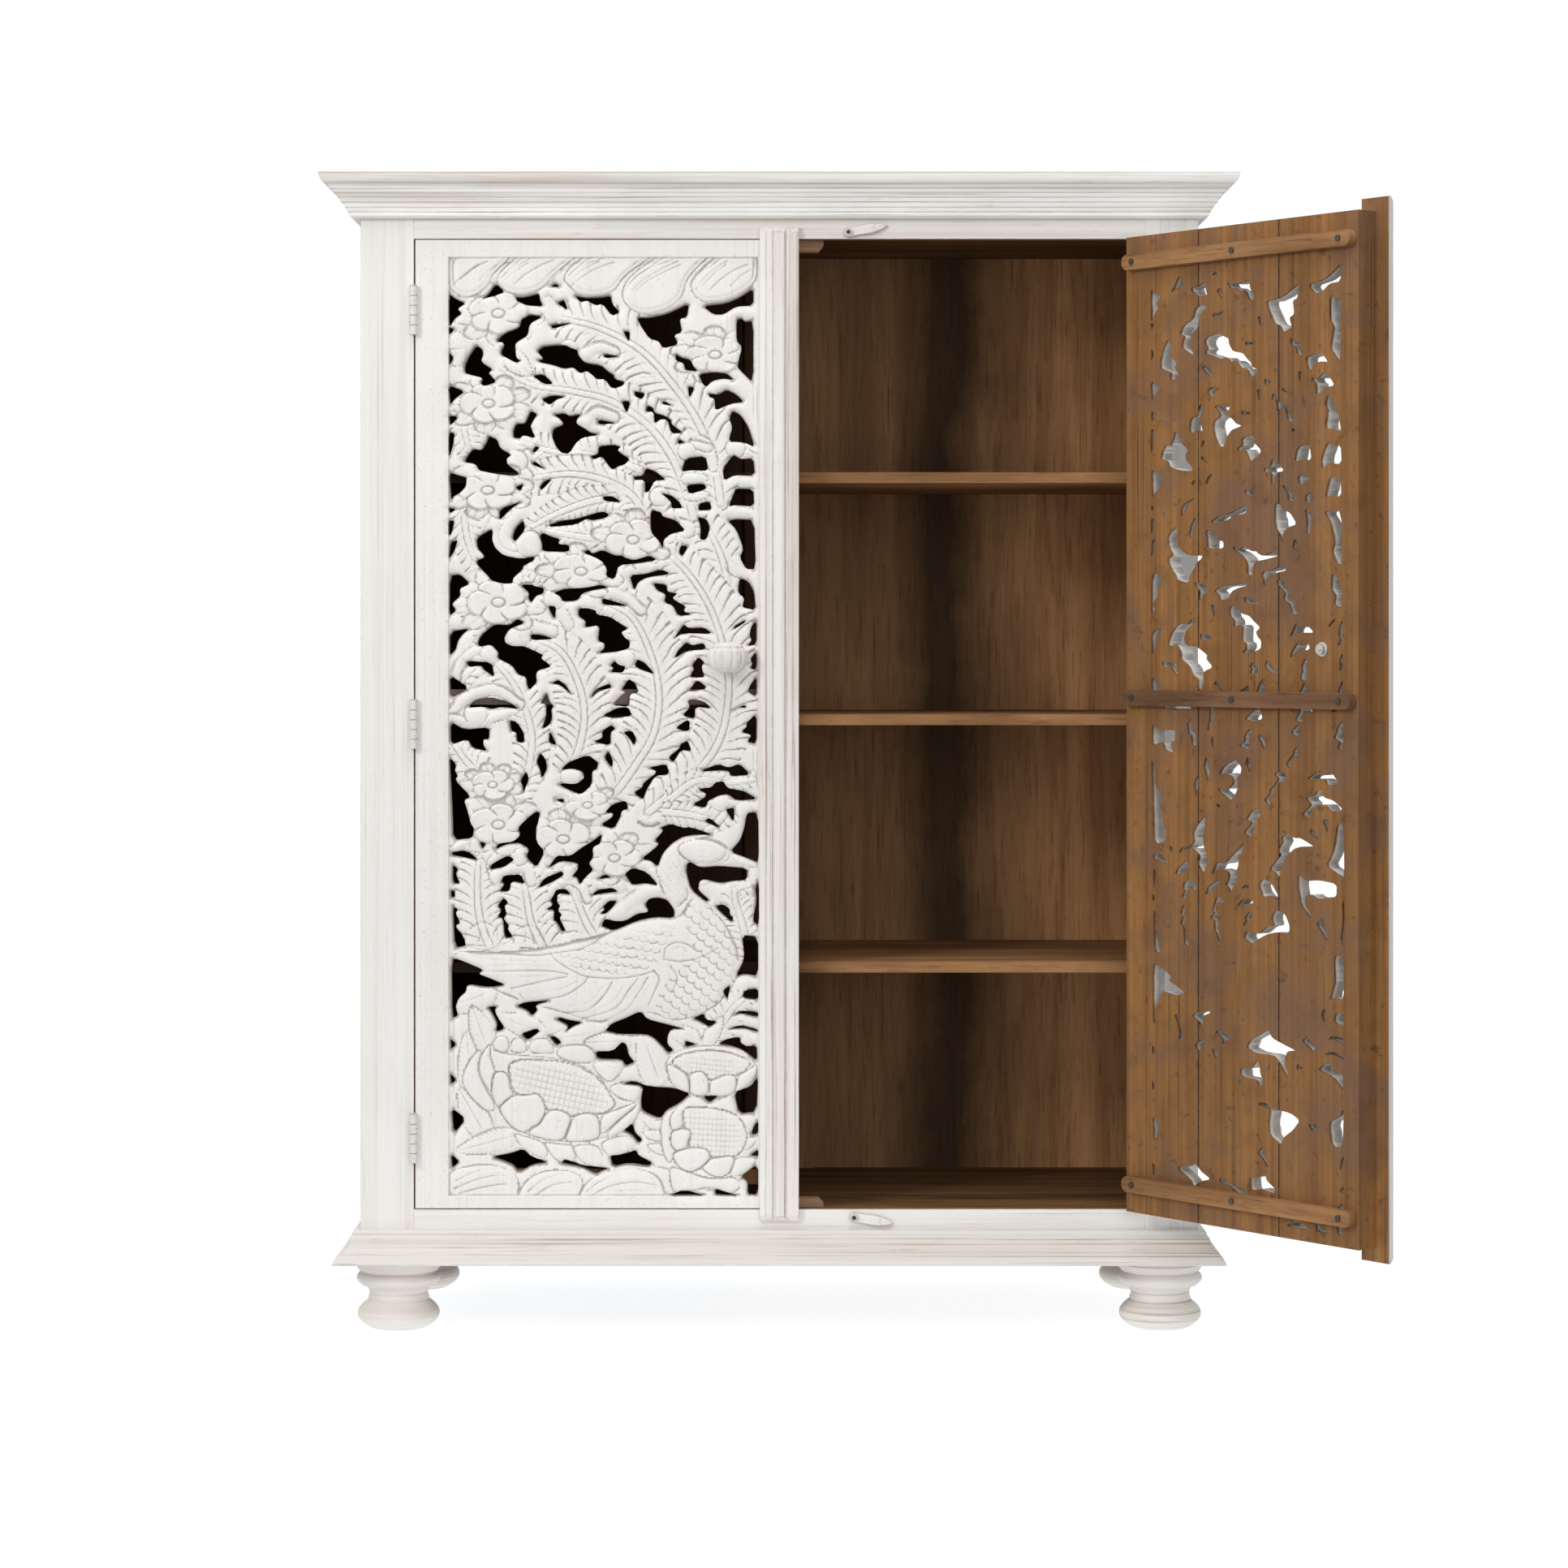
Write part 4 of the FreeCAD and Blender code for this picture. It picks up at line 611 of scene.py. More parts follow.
# Plumes and leaves, each from its tip, with its half widths and its leaflets' pitch
plumes = (
    ("552,905 572,935 590,955 606,985", (14, 24, 24, 18), 11),
    ("640,545 680,556 722,560 765,572 800,600 815,640", (18, 22, 24, 26, 24, 16), 13),
    ("640,592 700,584 745,592 780,612 797,645", (20, 24, 26, 24, 14), 12),
    ("650,652 684,634 720,620 756,612", (12, 18, 22, 16), 10),
    ("688,392 738,404 790,432 830,475 860,520 880,570 888,620", (24, 34, 42, 40, 38, 32, 20), 15),
    ("614,452 655,474 705,482 752,494 796,522 826,560 845,604 856,641",
     (18, 22, 24, 30, 34, 34, 26, 16), 13),
    ("580,560 572,520 585,470", (16, 18, 14), 10),
    ("590,700 575,660 570,600", (18, 20, 14), 10),
    ("672,655 720,662 760,668", (14, 20, 18), 9),
    ("650,700 690,702 720,705", (16, 20, 16), 9),
    ("570,735 600,790 560,850", (16, 16, 12), 10),
    ("866,640 888,684 900,735 908,790", (20, 26, 26, 20), 12),
    ("745,560 790,580", (12, 10), 9),
    ("806,672 842,700 873,745 892,800 898,850 889,905 865,945 830,975 800,1000",
     (16, 26, 36, 38, 38, 36, 34, 28, 20), 13),
    ("735,738 778,760 803,810 812,860 805,905 785,940 760,975 735,1000",
     (20, 32, 40, 42, 42, 38, 30, 20), 13),
    ("640,782 688,800 712,840 720,880 714,920 700,955", (16, 26, 34, 34, 30, 22), 12),
    ("600,806 628,836 645,868 655,905 652,945 640,985", (14, 22, 24, 24, 20, 14), 11),
    ("590,1052 588,1095 592,1135 604,1168", (18, 28, 30, 26), 12),
    ("640,1068 648,1100 654,1135 668,1166", (18, 28, 30, 24), 12),
    ("700,1085 712,1112 724,1140 742,1166", (18, 28, 28, 22), 12),
    ("905,1000 880,1010 850,1004 815,1000", (14, 16, 18, 12), 9),
    ("930,960 895,965 858,962 825,985", (10, 14, 16, 12), 9),
    ("925,1090 905,1100 915,1140 925,1180", (10, 18, 20, 12), 9),
    ("925,1225 905,1240 890,1262 870,1290", (10, 20, 20, 12), 9),
)
for text, widths, pitch in plumes:
    plume(text, widths, pitch)

# Single leaves: middle, half length, half width, and the way the tip points in degrees
leaves = (
    (578, 1232, 36, 18, 160), (592, 1268, 32, 15, 250), (640, 1262, 34, 14, 200), (712, 1276, 40, 15, 170),
    (802, 1304, 36, 20, 250), (748, 1284, 30, 14, 180), (770, 1352, 34, 13, 330), (578, 1310, 40, 15, 265),
    (583, 1372, 36, 17, 240), (600, 1408, 40, 15, 165), (660, 1416, 34, 11, 100), (716, 1414, 36, 12, 80),
    (764, 1404, 28, 13, 60), (806, 1400, 26, 17, 130), (840, 1274, 24, 12, 200), (905, 1302, 26, 11, 340),
    (812, 1452, 34, 15, 200), (866, 1452, 34, 14, 180), (906, 1440, 24, 12, 300), (560, 430, 14, 22, 180),
    (572, 395, 24, 16, 200), (640, 450, 20, 14, 40), (928, 615, 12, 26, 90), (920, 560, 22, 15, 20),
    (912, 700, 18, 14, 40), (856, 590, 18, 8, 0), (858, 610, 18, 8, 0), (870, 560, 26, 14, 60),
    (640, 720, 16, 10, 180), (620, 865, 20, 10, 20), (880, 1270, 22, 10, 300),
)
for place in leaves:
    leaf(*place)

# Scroll bands
bands = (
    ("646,612 622,628 606,655 612,678 634,688 654,680 660,666 650,658", 9),
    ("558,852 566,820 590,800 608,806 602,816 588,812", 8),
    ("556,878 580,856 612,850 640,868", 8), ("556,884 585,890 614,882 634,874", 7),
    ("560,1046 580,1036 600,1056 606,1076", 6), ("606,1062 626,1046 644,1050 642,1060", 7),
    ("612,1086 628,1070 648,1070 654,1086", 8), ("672,1084 686,1066 704,1066 704,1078", 8),
    ("684,1092 700,1084 716,1092 724,1108", 7), ("744,1092 764,1082 780,1096", 7),
    ("760,1128 776,1112 800,1098 826,1092 842,1100", 10), ("866,1030 890,1006 900,990 916,990", 6),
    ("884,992 872,984 890,976 908,982", 5), ("720,742 742,730 770,736 790,752", 8),
    ("672,742 690,752 700,770", 8), ("640,784 654,772 680,778", 9), ("722,520 736,508 756,514", 9),
    ("722,436 738,428 756,434", 9), ("660,366 676,358 690,366", 7), ("650,560 640,574 650,586", 8),
    ("846,556 856,548 872,552", 7), ("902,552 918,546 932,554", 6),
)
for text, half in bands:
    band(text, half)

# Round scroll ends: middle and reach
curls = (
    (636, 568, 15), (652, 670, 17), (683, 738, 14), (730, 745, 15), (640, 783, 16), (776, 702, 13),
    (846, 556, 12), (906, 552, 13), (604, 805, 13), (586, 880, 15), (770, 812, 13), (704, 955, 14),
    (888, 988, 12), (812, 612, 13), (846, 652, 12), (640, 366, 13), (700, 430, 12), (590, 1044, 12),
    (640, 1056, 11), (700, 1076, 10), (762, 1090, 11), (612, 1080, 10), (866, 1082, 9), (684, 1098, 10),
    (916, 998, 11),
)
curl_turn = 1.7
for number, (x0, y0, reach) in enumerate(curls):
    curl(x0, y0, reach, curl_turn * number)

# Flowers over their leaves: middle, half width, half height, petals and turn
flowers = (
    (614, 386, 37, 26, 5, 0.5), (602, 497, 35, 24, 5, 1.1), (881, 437, 36, 23, 6, 0.2),
    (601, 604, 37, 24, 5, 0.9), (780, 665, 34, 25, 5, 1.5), (716, 704, 36, 23, 5, 0.3),
    (614, 742, 38, 27, 5, 1.2), (607, 967, 26, 18, 5, 0.4), (614, 1016, 37, 25, 5, 0.7),
    (724, 992, 28, 18, 5, 0.1), (694, 1034, 36, 24, 5, 1.0), (757, 1057, 33, 22, 5, 0.4),
)
for x0, y0, across, up, _, turn in flowers:
    leaf_ring(x0, y0, across, up, turn)
for place in flowers:
    flower(*place)

# Slanted lobes along the top, and plain ones along the foot
top_lobes = """
552,306 640,306 620,327 606,341 602,352 590,362 575,368 560,362 552,352; 648,306 724,306 700,325 682,340
673,352 656,362 635,364 618,357 609,344 622,328; 734,306 818,306 790,326 768,343 757,360 735,366 712,363
700,352 692,342 704,326; 824,306 886,306 862,327 846,345 842,365 828,379 800,389 780,385 764,368 770,345
792,327; 894,306 934,306 934,345 920,358 905,367 885,373 865,373 852,362 850,345 866,328
"""
foot_lobes = """
548,1446 572,1436 604,1433 632,1442 642,1458 636,1484 548,1484; 634,1484 642,1458 668,1441 702,1441
722,1452 714,1484; 708,1484 718,1458 744,1443 790,1439 816,1450 822,1484
"""
lobe_rim, lobe_groove = 2.6, 0.8
top_lobe_rise, foot_lobe_rise = 3.0, 2.9
for text in top_lobes.split(";"):
    domed(text, top_lobe_rise, lobe_rim, lobe_groove)
for text in foot_lobes.split(";"):
    domed(text, foot_lobe_rise, lobe_rim)

# Cuts: depth in millimetres and width in pixels
deep_cut, fine_cut, cup_cut, vein_cut = (1.0, 1.2), (0.5, 0.9), (1.1, 1.3), (0.8, 1.1)

# The bird: body, neck, head and the marks on them
body = """
560,1170 620,1174 690,1164 745,1150 800,1134 838,1132 852,1102 874,1112 903,1150 914,1190 903,1218 880,1244
832,1262 796,1244 742,1264 700,1250 640,1234 600,1216 562,1184
"""
body_rise, body_rim = 3.6, 9.0
domed(body, body_rise, body_rim)
neck = """
812,1092 806,1066 822,1040 856,1030 884,1034 902,1048 896,1064 864,1070 846,1066 842,1084 852,1104 830,1124
"""
neck_rise, neck_rim = 3.4, 6.0
domed(neck, neck_rise, neck_rim)
head_rise, head_rim, head_groove = 4.3, 4.0, 0.5
domed("832,1042 856,1032 884,1036 900,1050 884,1064 858,1066 838,1056", head_rise, head_rim, head_groove)
beak_rise, beak_rim = 3.0, 3.0
domed("898,1048 922,1056 934,1064 934,1070 906,1066", beak_rise, beak_rim)

# Scales on its breast, wing and neck: turn, pitch and depth of each patch, and its outline
scaled = (
    (0.7, 12, 1.1, """
850,1104 868,1112 884,1126 904,1150 914,1190 903,1218 878,1244 836,1257 806,1246 812,1222 830,1200 856,1178
850,1150 838,1134
"""),
    (0.15, 11, 0.8, """
684,1176 718,1169 750,1153 808,1135 838,1144 818,1166 812,1186 790,1198 757,1202 724,1200 700,1190
"""),
    (0.9, 8, 0.9, """
812,1092 806,1068 822,1046 846,1060 842,1084 852,1104 836,1122
"""),
)
for turn, pitch, deep, text in scaled:
    corners = softened(picked(text))
    patch, x, y = depth.window(corners.min(0), corners.max(0))
    depth.values[patch] += np.where(inside(x, y, corners), deep * scaly(x, y, turn, pitch), 0)

# Feathers of its wing and tail, and finer lines between them
grooved("""
562,1170 578,1168 616,1174 655,1177 678,1175 718,1168 744,1153 770,1140 808,1133
678,1175 688,1185 706,1196 724,1203 757,1205 785,1202 806,1196
591,1198 629,1196 675,1196 700,1200
629,1218 667,1209 698,1203
640,1224 650,1232 693,1227 718,1212 724,1204
693,1248 724,1244 744,1227 754,1210
718,1255 757,1242 775,1219 786,1205
739,1260 770,1245 786,1224 798,1204
806,1196 812,1206 806,1222 798,1240
818,1182 820,1168 832,1161 846,1163 856,1170
820,1182 838,1184 862,1180 884,1168
826,1190 834,1204 828,1222
""", *deep_cut)
grooved("""
566,1178 600,1181 660,1184
600,1189 650,1190 684,1190
640,1203 676,1202
655,1213 690,1208
656,1224 690,1218 712,1208
700,1240 726,1234 742,1216
706,1246 734,1236 748,1218
730,1248 756,1232 768,1214
752,1248 776,1228 788,1210
766,1250 788,1232 800,1212
700,1184 730,1190 770,1190
716,1177 760,1180 806,1176
740,1168 780,1168 812,1160
760,1158 796,1154 830,1148
716,1190 750,1196 790,1192
828,1170 838,1166 846,1172
""", *fine_cut)

# Cups the standing feathers grow from
grooved("""
572,1160 578,1145 596,1136 611,1145 614,1160
632,1162 636,1148 648,1140 662,1144 668,1154 674,1166
664,1136 678,1140 692,1150
590,1160 592,1148
602,1160 600,1148
646,1164 648,1150
658,1164 656,1152
""", *cup_cut)

# Lotus heads: petals behind, then each patterned heart with its petals in front
back_petals = """
566,1330 580,1300 596,1290 590,1316 596,1336 614,1366 600,1372 578,1352; 604,1288 612,1276 624,1276
628,1284 626,1298 608,1300; 627,1298 629,1281 640,1277 649,1285 650,1298; 650,1298 652,1285 662,1278
674,1279 681,1287 684,1300; 682,1302 690,1288 718,1285 732,1294 736,1308 716,1312; 728,1312 740,1306
770,1310 766,1322 752,1336 738,1326; 748,1338 768,1332 793,1338 788,1357 768,1362 756,1352; 606,1282
592,1299 588,1318 594,1335 614,1366 628,1388 648,1398 674,1405 702,1408 728,1406 752,1400 770,1393 782,1378
790,1358 758,1352 738,1324 700,1304 612,1298; 630,1394 650,1400 668,1405 676,1416 674,1428 656,1424
640,1412; 668,1406 692,1409 706,1410 712,1422 704,1436 684,1430 676,1420; 704,1410 732,1408 744,1420
742,1440 722,1436 708,1424; 738,1407 768,1396 788,1408 774,1420 754,1428 744,1420; 818,1308 836,1293
874,1286 904,1291 934,1310 930,1328 905,1348 872,1352 838,1346 822,1326; 838,1364 848,1350 864,1351
872,1362 868,1376 846,1378; 874,1364 888,1352 905,1349 910,1374 898,1382; 900,1382 912,1372 934,1374
928,1396 914,1398; 908,1402 934,1400 928,1414 914,1420; 786,1374 812,1382 824,1372 824,1390 802,1396;
788,1392 824,1390 824,1408 798,1406; 792,1408 826,1408 828,1424 808,1424; 812,1374 838,1362 846,1378
828,1440 814,1420; 822,1438 838,1438 860,1448 884,1452 906,1448 916,1462 896,1474 876,1462 850,1468
828,1474
"""
# Hearts: middle, turn and pitch of the pattern, outline, and the petals in front
hearts = (
    (690, 1336, 0.22, 6.5, """
626,1306 660,1304 700,1308 724,1318 742,1332 754,1350 762,1362 742,1375 718,1374 704,1378 692,1371 674,1372
664,1352 632,1350 626,1326
""", """
606,1282 591,1300 588,1318 595,1335 606,1348 613,1336 611,1319 604,1300; 604,1346 606,1326 611,1319
622,1319 628,1328 629,1342 634,1349 624,1358 612,1366; 655,1390 664,1385 672,1371 682,1366 694,1368
705,1376 701,1390 694,1407 671,1405 648,1398; 694,1407 701,1390 705,1376 717,1371 728,1371 737,1375
740,1384 740,1404 716,1408; 612,1366 622,1355 633,1348 648,1349 661,1346 668,1352 672,1362 673,1371
665,1386 655,1390 646,1398 628,1389; 747,1396 762,1380 778,1368 789,1357 789,1372 778,1387 769,1395
750,1402; 739,1400 739,1380 743,1373 757,1367 773,1361 789,1356 779,1368 764,1379 749,1394
"""),
    (876, 1308, 0.1, 5.0, """
824,1308 840,1297 874,1292 902,1296 929,1308 918,1322 906,1327 894,1326 884,1331 874,1333 868,1325 855,1323
848,1327 836,1318
""", """
820,1308 836,1316 846,1323 850,1334 850,1349 834,1344 823,1330; 849,1350 849,1334 848,1325 855,1320
865,1319 870,1324 874,1331 874,1351; 873,1351 874,1331 884,1328 894,1323 906,1324 909,1334 905,1348
888,1352; 904,1348 908,1335 908,1325 918,1320 934,1309 932,1327 917,1342
"""),
    (882, 1394, 0.05, 5.5, """
840,1366 852,1362 876,1364 900,1368 916,1380 922,1398 918,1416 904,1428 876,1429 870,1418 846,1416 850,1398
841,1390
""", """
824,1376 834,1364 842,1365 841,1377 843,1386 834,1394 825,1392; 825,1394 835,1390 850,1391 852,1398
848,1406 847,1415 834,1420 825,1412; 896,1450 904,1432 905,1428 913,1425 934,1426 926,1441 912,1450;
862,1440 872,1430 876,1427 888,1425 899,1423 905,1427 905,1434 898,1449 880,1452; 826,1424 834,1417
846,1414 860,1413 871,1415 876,1424 873,1431 863,1440 850,1446 836,1440
"""),
)
back_petal_rise, back_petal_rim = 2.7, 2.2
heart_rise, heart_rim, heart_dip = 2.9, 1.8, 0.3
hatch_depth, hatch_stretch = 1.0, 1.2
petal_rise, petal_rim, petal_slope = 3.9, 1.9, 0.03
for text in back_petals.split(";"):
    domed(text, back_petal_rise, back_petal_rim)
for middle_x, middle_y, turn, pitch, text, petals in hearts:
    patch, x, y, within = domed(text, heart_rise, heart_rim)
    hatching = hatched(x, y, turn, pitch, pitch * hatch_stretch)
    depth.values[patch] += np.where(within, heart_dip + hatch_depth * hatching, 0)
    for text in petals.split(";"):
        patch, x, y, within = domed(text, petal_rise, petal_rim)
        outward = np.hypot(x - middle_x, y - middle_y)
        outward -= np.where(within, outward, np.inf).min()
        depth.values[patch] += np.where(within, petal_slope * outward, 0)

# Creases of the petals
grooved("""
642,1382 655,1388 664,1384
634,1372 642,1360 652,1356
684,1398 688,1380
716,1400 718,1382
752,1390 768,1376 778,1364
598,1330 600,1312 604,1298
616,1352 618,1336
655,1412 668,1424
690,1414 698,1430
718,1414 730,1432
752,1412 772,1408
862,1348 862,1328
888,1346 890,1334
742,1314 762,1318
760,1342 784,1346
606,1294 640,1297 662,1298
850,1436 858,1424
884,1446 888,1432
912,1444 922,1432
856,1294 892,1296 916,1304
798,1386 818,1384
800,1399 820,1399
830,1470 844,1452
852,1462 860,1452
892,1466 888,1454
904,1468 898,1454
""", *fine_cut)

# Veins of the lobes along the top and the foot
grooved("""
560,1464 590,1452 620,1448 640,1460
562,1454 590,1442 622,1440
566,1470 596,1462 624,1458
650,1468 668,1454 690,1447 708,1450
660,1472 680,1460 704,1456
722,1468 744,1454 776,1447 806,1452
728,1473 752,1461 782,1456 810,1460
730,1460 756,1448 790,1444
612,348 622,338 640,326 652,319
622,346 634,334 650,324
690,350 704,336 722,325 742,319
704,344 718,332 738,322
772,352 784,340 806,328 828,320
778,358 794,344 818,330 834,322
858,356 868,342 882,330 896,321
866,352 878,338 894,326
632,352 646,339 664,328 682,320
602,342 612,331 626,323
702,354 716,342 734,331 756,323
680,346 692,334 706,325
784,358 796,347 816,336 838,326
764,346 776,334 792,325
850,352 860,338 872,328
874,358 888,344 904,333 920,326
900,352 912,340 926,332
560,350 572,338 588,327
590,346 602,334 612,326
568,344 584,330 600,322
575,338 590,326
""", *vein_cut)

# The field's border and the rounded rims of its holes
shallowest = 0.2
border_width, border_line, border_line_depth = 7.0, 1.6, 0.7
edge_depth, edge_width = 3.6, 2.2
from_side = np.minimum(raster_x - field_left, field_right - raster_x)[None, :]
from_end = np.minimum(raster_y - field_top, field_bottom - raster_y)[:, None]
from_border = np.minimum(from_side, from_end)
depth.values = np.maximum(depth.values, shallowest)
depth.values[~in_field] = 0
depth.values *= limited(from_border / border_width)**0.7
depth.values += np.where(in_field, border_line_depth * mark(from_border - border_line, border_line), 0)
depth.values += edge_depth * np.exp(-np.clip(clearance.values, 0, None) / edge_width)


def blurred(values, radius):
    """Three box blurs one after another, each way."""
    count = 2 * radius + 1
    for _ in range(3):
        for axis in (0, 1):
            padded = np.concatenate([np.repeat(np.take(values, [0], axis), radius + 1, axis), values,
                                     np.repeat(np.take(values, [-1], axis), radius, axis)], axis)
            sums = np.cumsum(padded, axis)
            values = (np.take(sums, range(count, sums.shape[axis]), axis)
                      - np.take(sums, range(sums.shape[axis] - count), axis)) / count
    return values


# How hollow each place is against its near and its wider surroundings, which says where the carving is
# painted darker: dirt and painted shade in the narrow grooves, painted shade in the wider hollows
near_radius, wide_radius = 3, 11
near_hollow, wide_hollow = 1.0, 5.0
cavity = Raster(0)
cavity.values = np.clip((depth.values - blurred(depth.values, near_radius)) / near_hollow
                        + (depth.values - blurred(depth.values, wide_radius)) / wide_hollow, -1, 1)

# Where the field lies on each door's slab, in millimetres from the hinge edge and the floor
field_starts = {"left": 43.0, "right": 46.5}
field_widths = {"left": 406.5, "right": 350.0}
field_floor, field_ceiling = 177.5, 1406.0
fine_step, coarse_step = 1.6, 7.0


def grid_line(low, high, fine_low, fine_high):
    """Places from low to high, close together over the carved field and wide apart beside it."""
    fine_low, fine_high = max(low, fine_low), min(high, fine_high)
    places = [low]
    for start, end, step in ((low, fine_low, coarse_step), (fine_low, fine_high, fine_step),
                             (fine_high, high, coarse_step)):
        if end > start:
            places.extend(np.linspace(start, end, math.ceil((end - start) / step) + 1)[1:])
    return np.array(places)


def grid_triangles(across, up):
    """The points of a flat grid, and its triangles with their diagonals turned from cell to cell."""
    x, z = np.meshgrid(across, up)
    count = len(across)
    rows, columns = np.arange(len(up) - 1)[:, None], np.arange(count - 1)[None, :]
    odd = ((rows + columns) % 2).astype(bool).ravel()
    a = (rows * count + columns).ravel()
    b, c, d = a + 1, a + count + 1, a + count
    halves = np.where(odd[:, None, None],
                      np.stack([np.stack([a, b, d], 1), np.stack([b, c, d], 1)], 1),
                      np.stack([np.stack([a, b, c], 1), np.stack([a, c, d], 1)], 1))
    return np.stack([x.ravel(), z.ravel()], axis=1), halves.reshape(-1, 3)


def marched(points, triangles, level):
    """Cut triangles where level falls below nothing; returns the points that are left, and faces."""
    signs = (level[triangles] > 0).astype(int)
    nearest_share = 0.02
    added, numbers = [], {}

    def crossing(a, b):
        """The number of the point where the edge from a to b meets the cut."""
        first, second = min(a, b), max(a, b)
        if (first, second) not in numbers:
            share = level[first] / (level[first] - level[second])
            share = min(max(share, nearest_share), 1 - nearest_share)
            numbers[first, second] = len(points) + len(added)
            added.append(points[first] * (1 - share) + points[second] * share)
        return numbers[first, second]

    more = []
    for corners, sign in zip(triangles.tolist(), signs.tolist()):
        if sum(sign) in (0, 3):
            continue
        odd = sign.index(1 if sum(sign) == 1 else 0)
        a, b, c = corners[odd:] + corners[:odd]
        to_b, to_c = crossing(a, b), crossing(a, c)
        if sum(sign) == 1:
            more.append((a, to_b, to_c))
        else:
            more.extend(((to_b, b, c), (to_b, c, to_c)))
    points = np.concatenate([points, np.array(added).reshape(-1, 2)])
    faces = np.concatenate([triangles[signs.sum(1) == 3], np.array(more, int).reshape(-1, 3)])
    used = np.unique(faces)
    renumber = np.full(len(points), -1)
    renumber[used] = np.arange(len(used))
    return points[used], renumber[faces]


def solid_parts(faces, outline, spots, level):
    """Which triangles of a filled outline are board and not hole, part by part between its edges."""
    walls = {(min(edge), max(edge)) for edge in outline}
    neighbours = {}
    for number, face in enumerate(faces.tolist()):
        for a, b in zip(face, face[1:] + face[:1]):
            if (min(a, b), max(a, b)) not in walls:
                neighbours.setdefault((min(a, b), max(a, b)), []).append(number)
    linked = [[] for _ in faces]
    for pair in neighbours.values():
        if len(pair) == 2:
            linked[pair[0]].append(pair[1])
            linked[pair[1]].append(pair[0])
    corners = spots[faces]
    sides = corners[:, 1:] - corners[:, :1]
    areas = np.abs(sides[:, 0, 0] * sides[:, 1, 1] - sides[:, 0, 1] * sides[:, 1, 0])
    weights = areas * level(corners.mean(1))
    solid = np.zeros(len(faces), bool)
    seen = np.zeros(len(faces), bool)
    for first in range(len(faces)):
        if seen[first]:
            continue
        seen[first] = True
        part = [first]
        for number in part:
            for other in linked[number]:
                if not seen[other]:
                    seen[other] = True
                    part.append(other)
        solid[part] = weights[part].sum() > 0
    return solid


def closed_behind(front, flat, level):
    """The rim of a pierced front: its points, the walls behind it and the back's faces, numbered after the
    front's points."""
    closeness = 1e-5
    edges = np.concatenate([front[:, [0, 1]], front[:, [1, 2]], front[:, [2, 0]]])
    size = len(flat)
    key, back_key = edges[:, 0] * size + edges[:, 1], edges[:, 1] * size + edges[:, 0]
    rim = edges[~np.isin(key, back_key)]
    rim_points = np.unique(rim)
    number = np.full(size, -1)
    number[rim_points] = np.arange(len(rim_points))
    first, second = number[rim[:, 0]], number[rim[:, 1]]
    walls = np.concatenate([np.stack([rim[:, 1], rim[:, 0], size + first], 1),
                            np.stack([rim[:, 1], size + first, size + second], 1)])
    outline = list(zip(first.tolist(), second.tolist()))
    _, _, filled, origins, _, _ = delaunay_2d_cdt(
        [Vector(flat[place]) for place in rim_points], outline, [], 1, closeness)
    back = np.array([found[0] if found else -1 for found in origins])[np.array(filled)]
    back = back[solid_parts(back, outline, flat[rim_points], level)]
    return rim_points, walls, (size + back)[:, ::-1]


def carved_board(side, board, material):
    """One pierced and carved board of a door, in place of its node."""
    low, high = local_box(side, board)
    slab_low, _ = local_box(side, "hinge_board")
    field_start = slab_low[0] + field_starts[side]
    field_end = field_start + field_widths[side]

    def in_pixels(places):
        """Places of the board in the photograph's pixels."""
        share = (places[:, 0] - field_start) / field_widths[side]
        rise = (places[:, 1] - field_floor) / (field_ceiling - field_floor)
        return (field_left + share * (field_right - field_left),
                field_bottom - rise * (field_bottom - field_top))

    def level(places):
        """How far places of the board are from a hole."""
        return clearance.at(*in_pixels(places))

    flat, triangles = grid_triangles(grid_line(low[0], high[0], field_start, field_end),
                                     grid_line(low[2], high[2], field_floor, field_ceiling))
    flat, front = marched(flat, triangles, level(flat))
    rim_points, walls, back = closed_behind(front, flat, level)
    front_points = np.stack([flat[:, 0], low[1] + depth.at(*in_pixels(flat)), flat[:, 1]], 1)
    back_points = front_points[rim_points]
    back_points[:, 1] = high[1]
    points = np.concatenate([front_points, back_points])
    faces = np.concatenate([front, walls, back])
    if side == "right":
        points[:, 0] *= -1
        faces = faces[:, ::-1]
    made = new_mesh(f"{side}_{board}_carved", points, faces, smooth_below=35)
    hollow = np.concatenate([cavity.at(*in_pixels(flat)), np.zeros(len(rim_points))])
    shade = made.data.attributes.new("cavity", "FLOAT", "POINT")
    shade.data.foreach_set("value", hollow.astype(np.float32))
    made.matrix_world = door_places[side]
    stand_in(made, f"{side}_door", material, f"{side}_{board}")


# Materials
def add_node(tree, kind, inputs=(), **settings):
    """A shader node with its settings, each input given as a value or as the socket it comes from."""
    made = tree.nodes.new(kind)
    for key, value in settings.items():
        setattr(made, key, value)
    for key, value in dict(inputs).items():
        if isinstance(value, bpy.types.NodeSocket):
            tree.links.new(value, made.inputs[key])
        else:
            made.inputs[key].default_value = value
    return made


def ramp(tree, factor, *stops):
    """Colours or greys over a factor, each stop a place and a value."""
    made = tree.nodes.new("ShaderNodeValToRGB")
    tree.links.new(factor, made.inputs["Fac"])
    for count, (place, value) in enumerate(stops):
        stop = made.color_ramp.elements[count] if count < 2 else made.color_ramp.elements.new(place)
        stop.position = place
        stop.color = (*value, 1) if isinstance(value, tuple) else (value, value, value, 1)
    return made.outputs["Color"]


def rising(tree, factor, start, full):
    """A mask: nothing up to the start and one from the full value on."""
    return ramp(tree, factor, (start, 0.0), (full, 1.0))


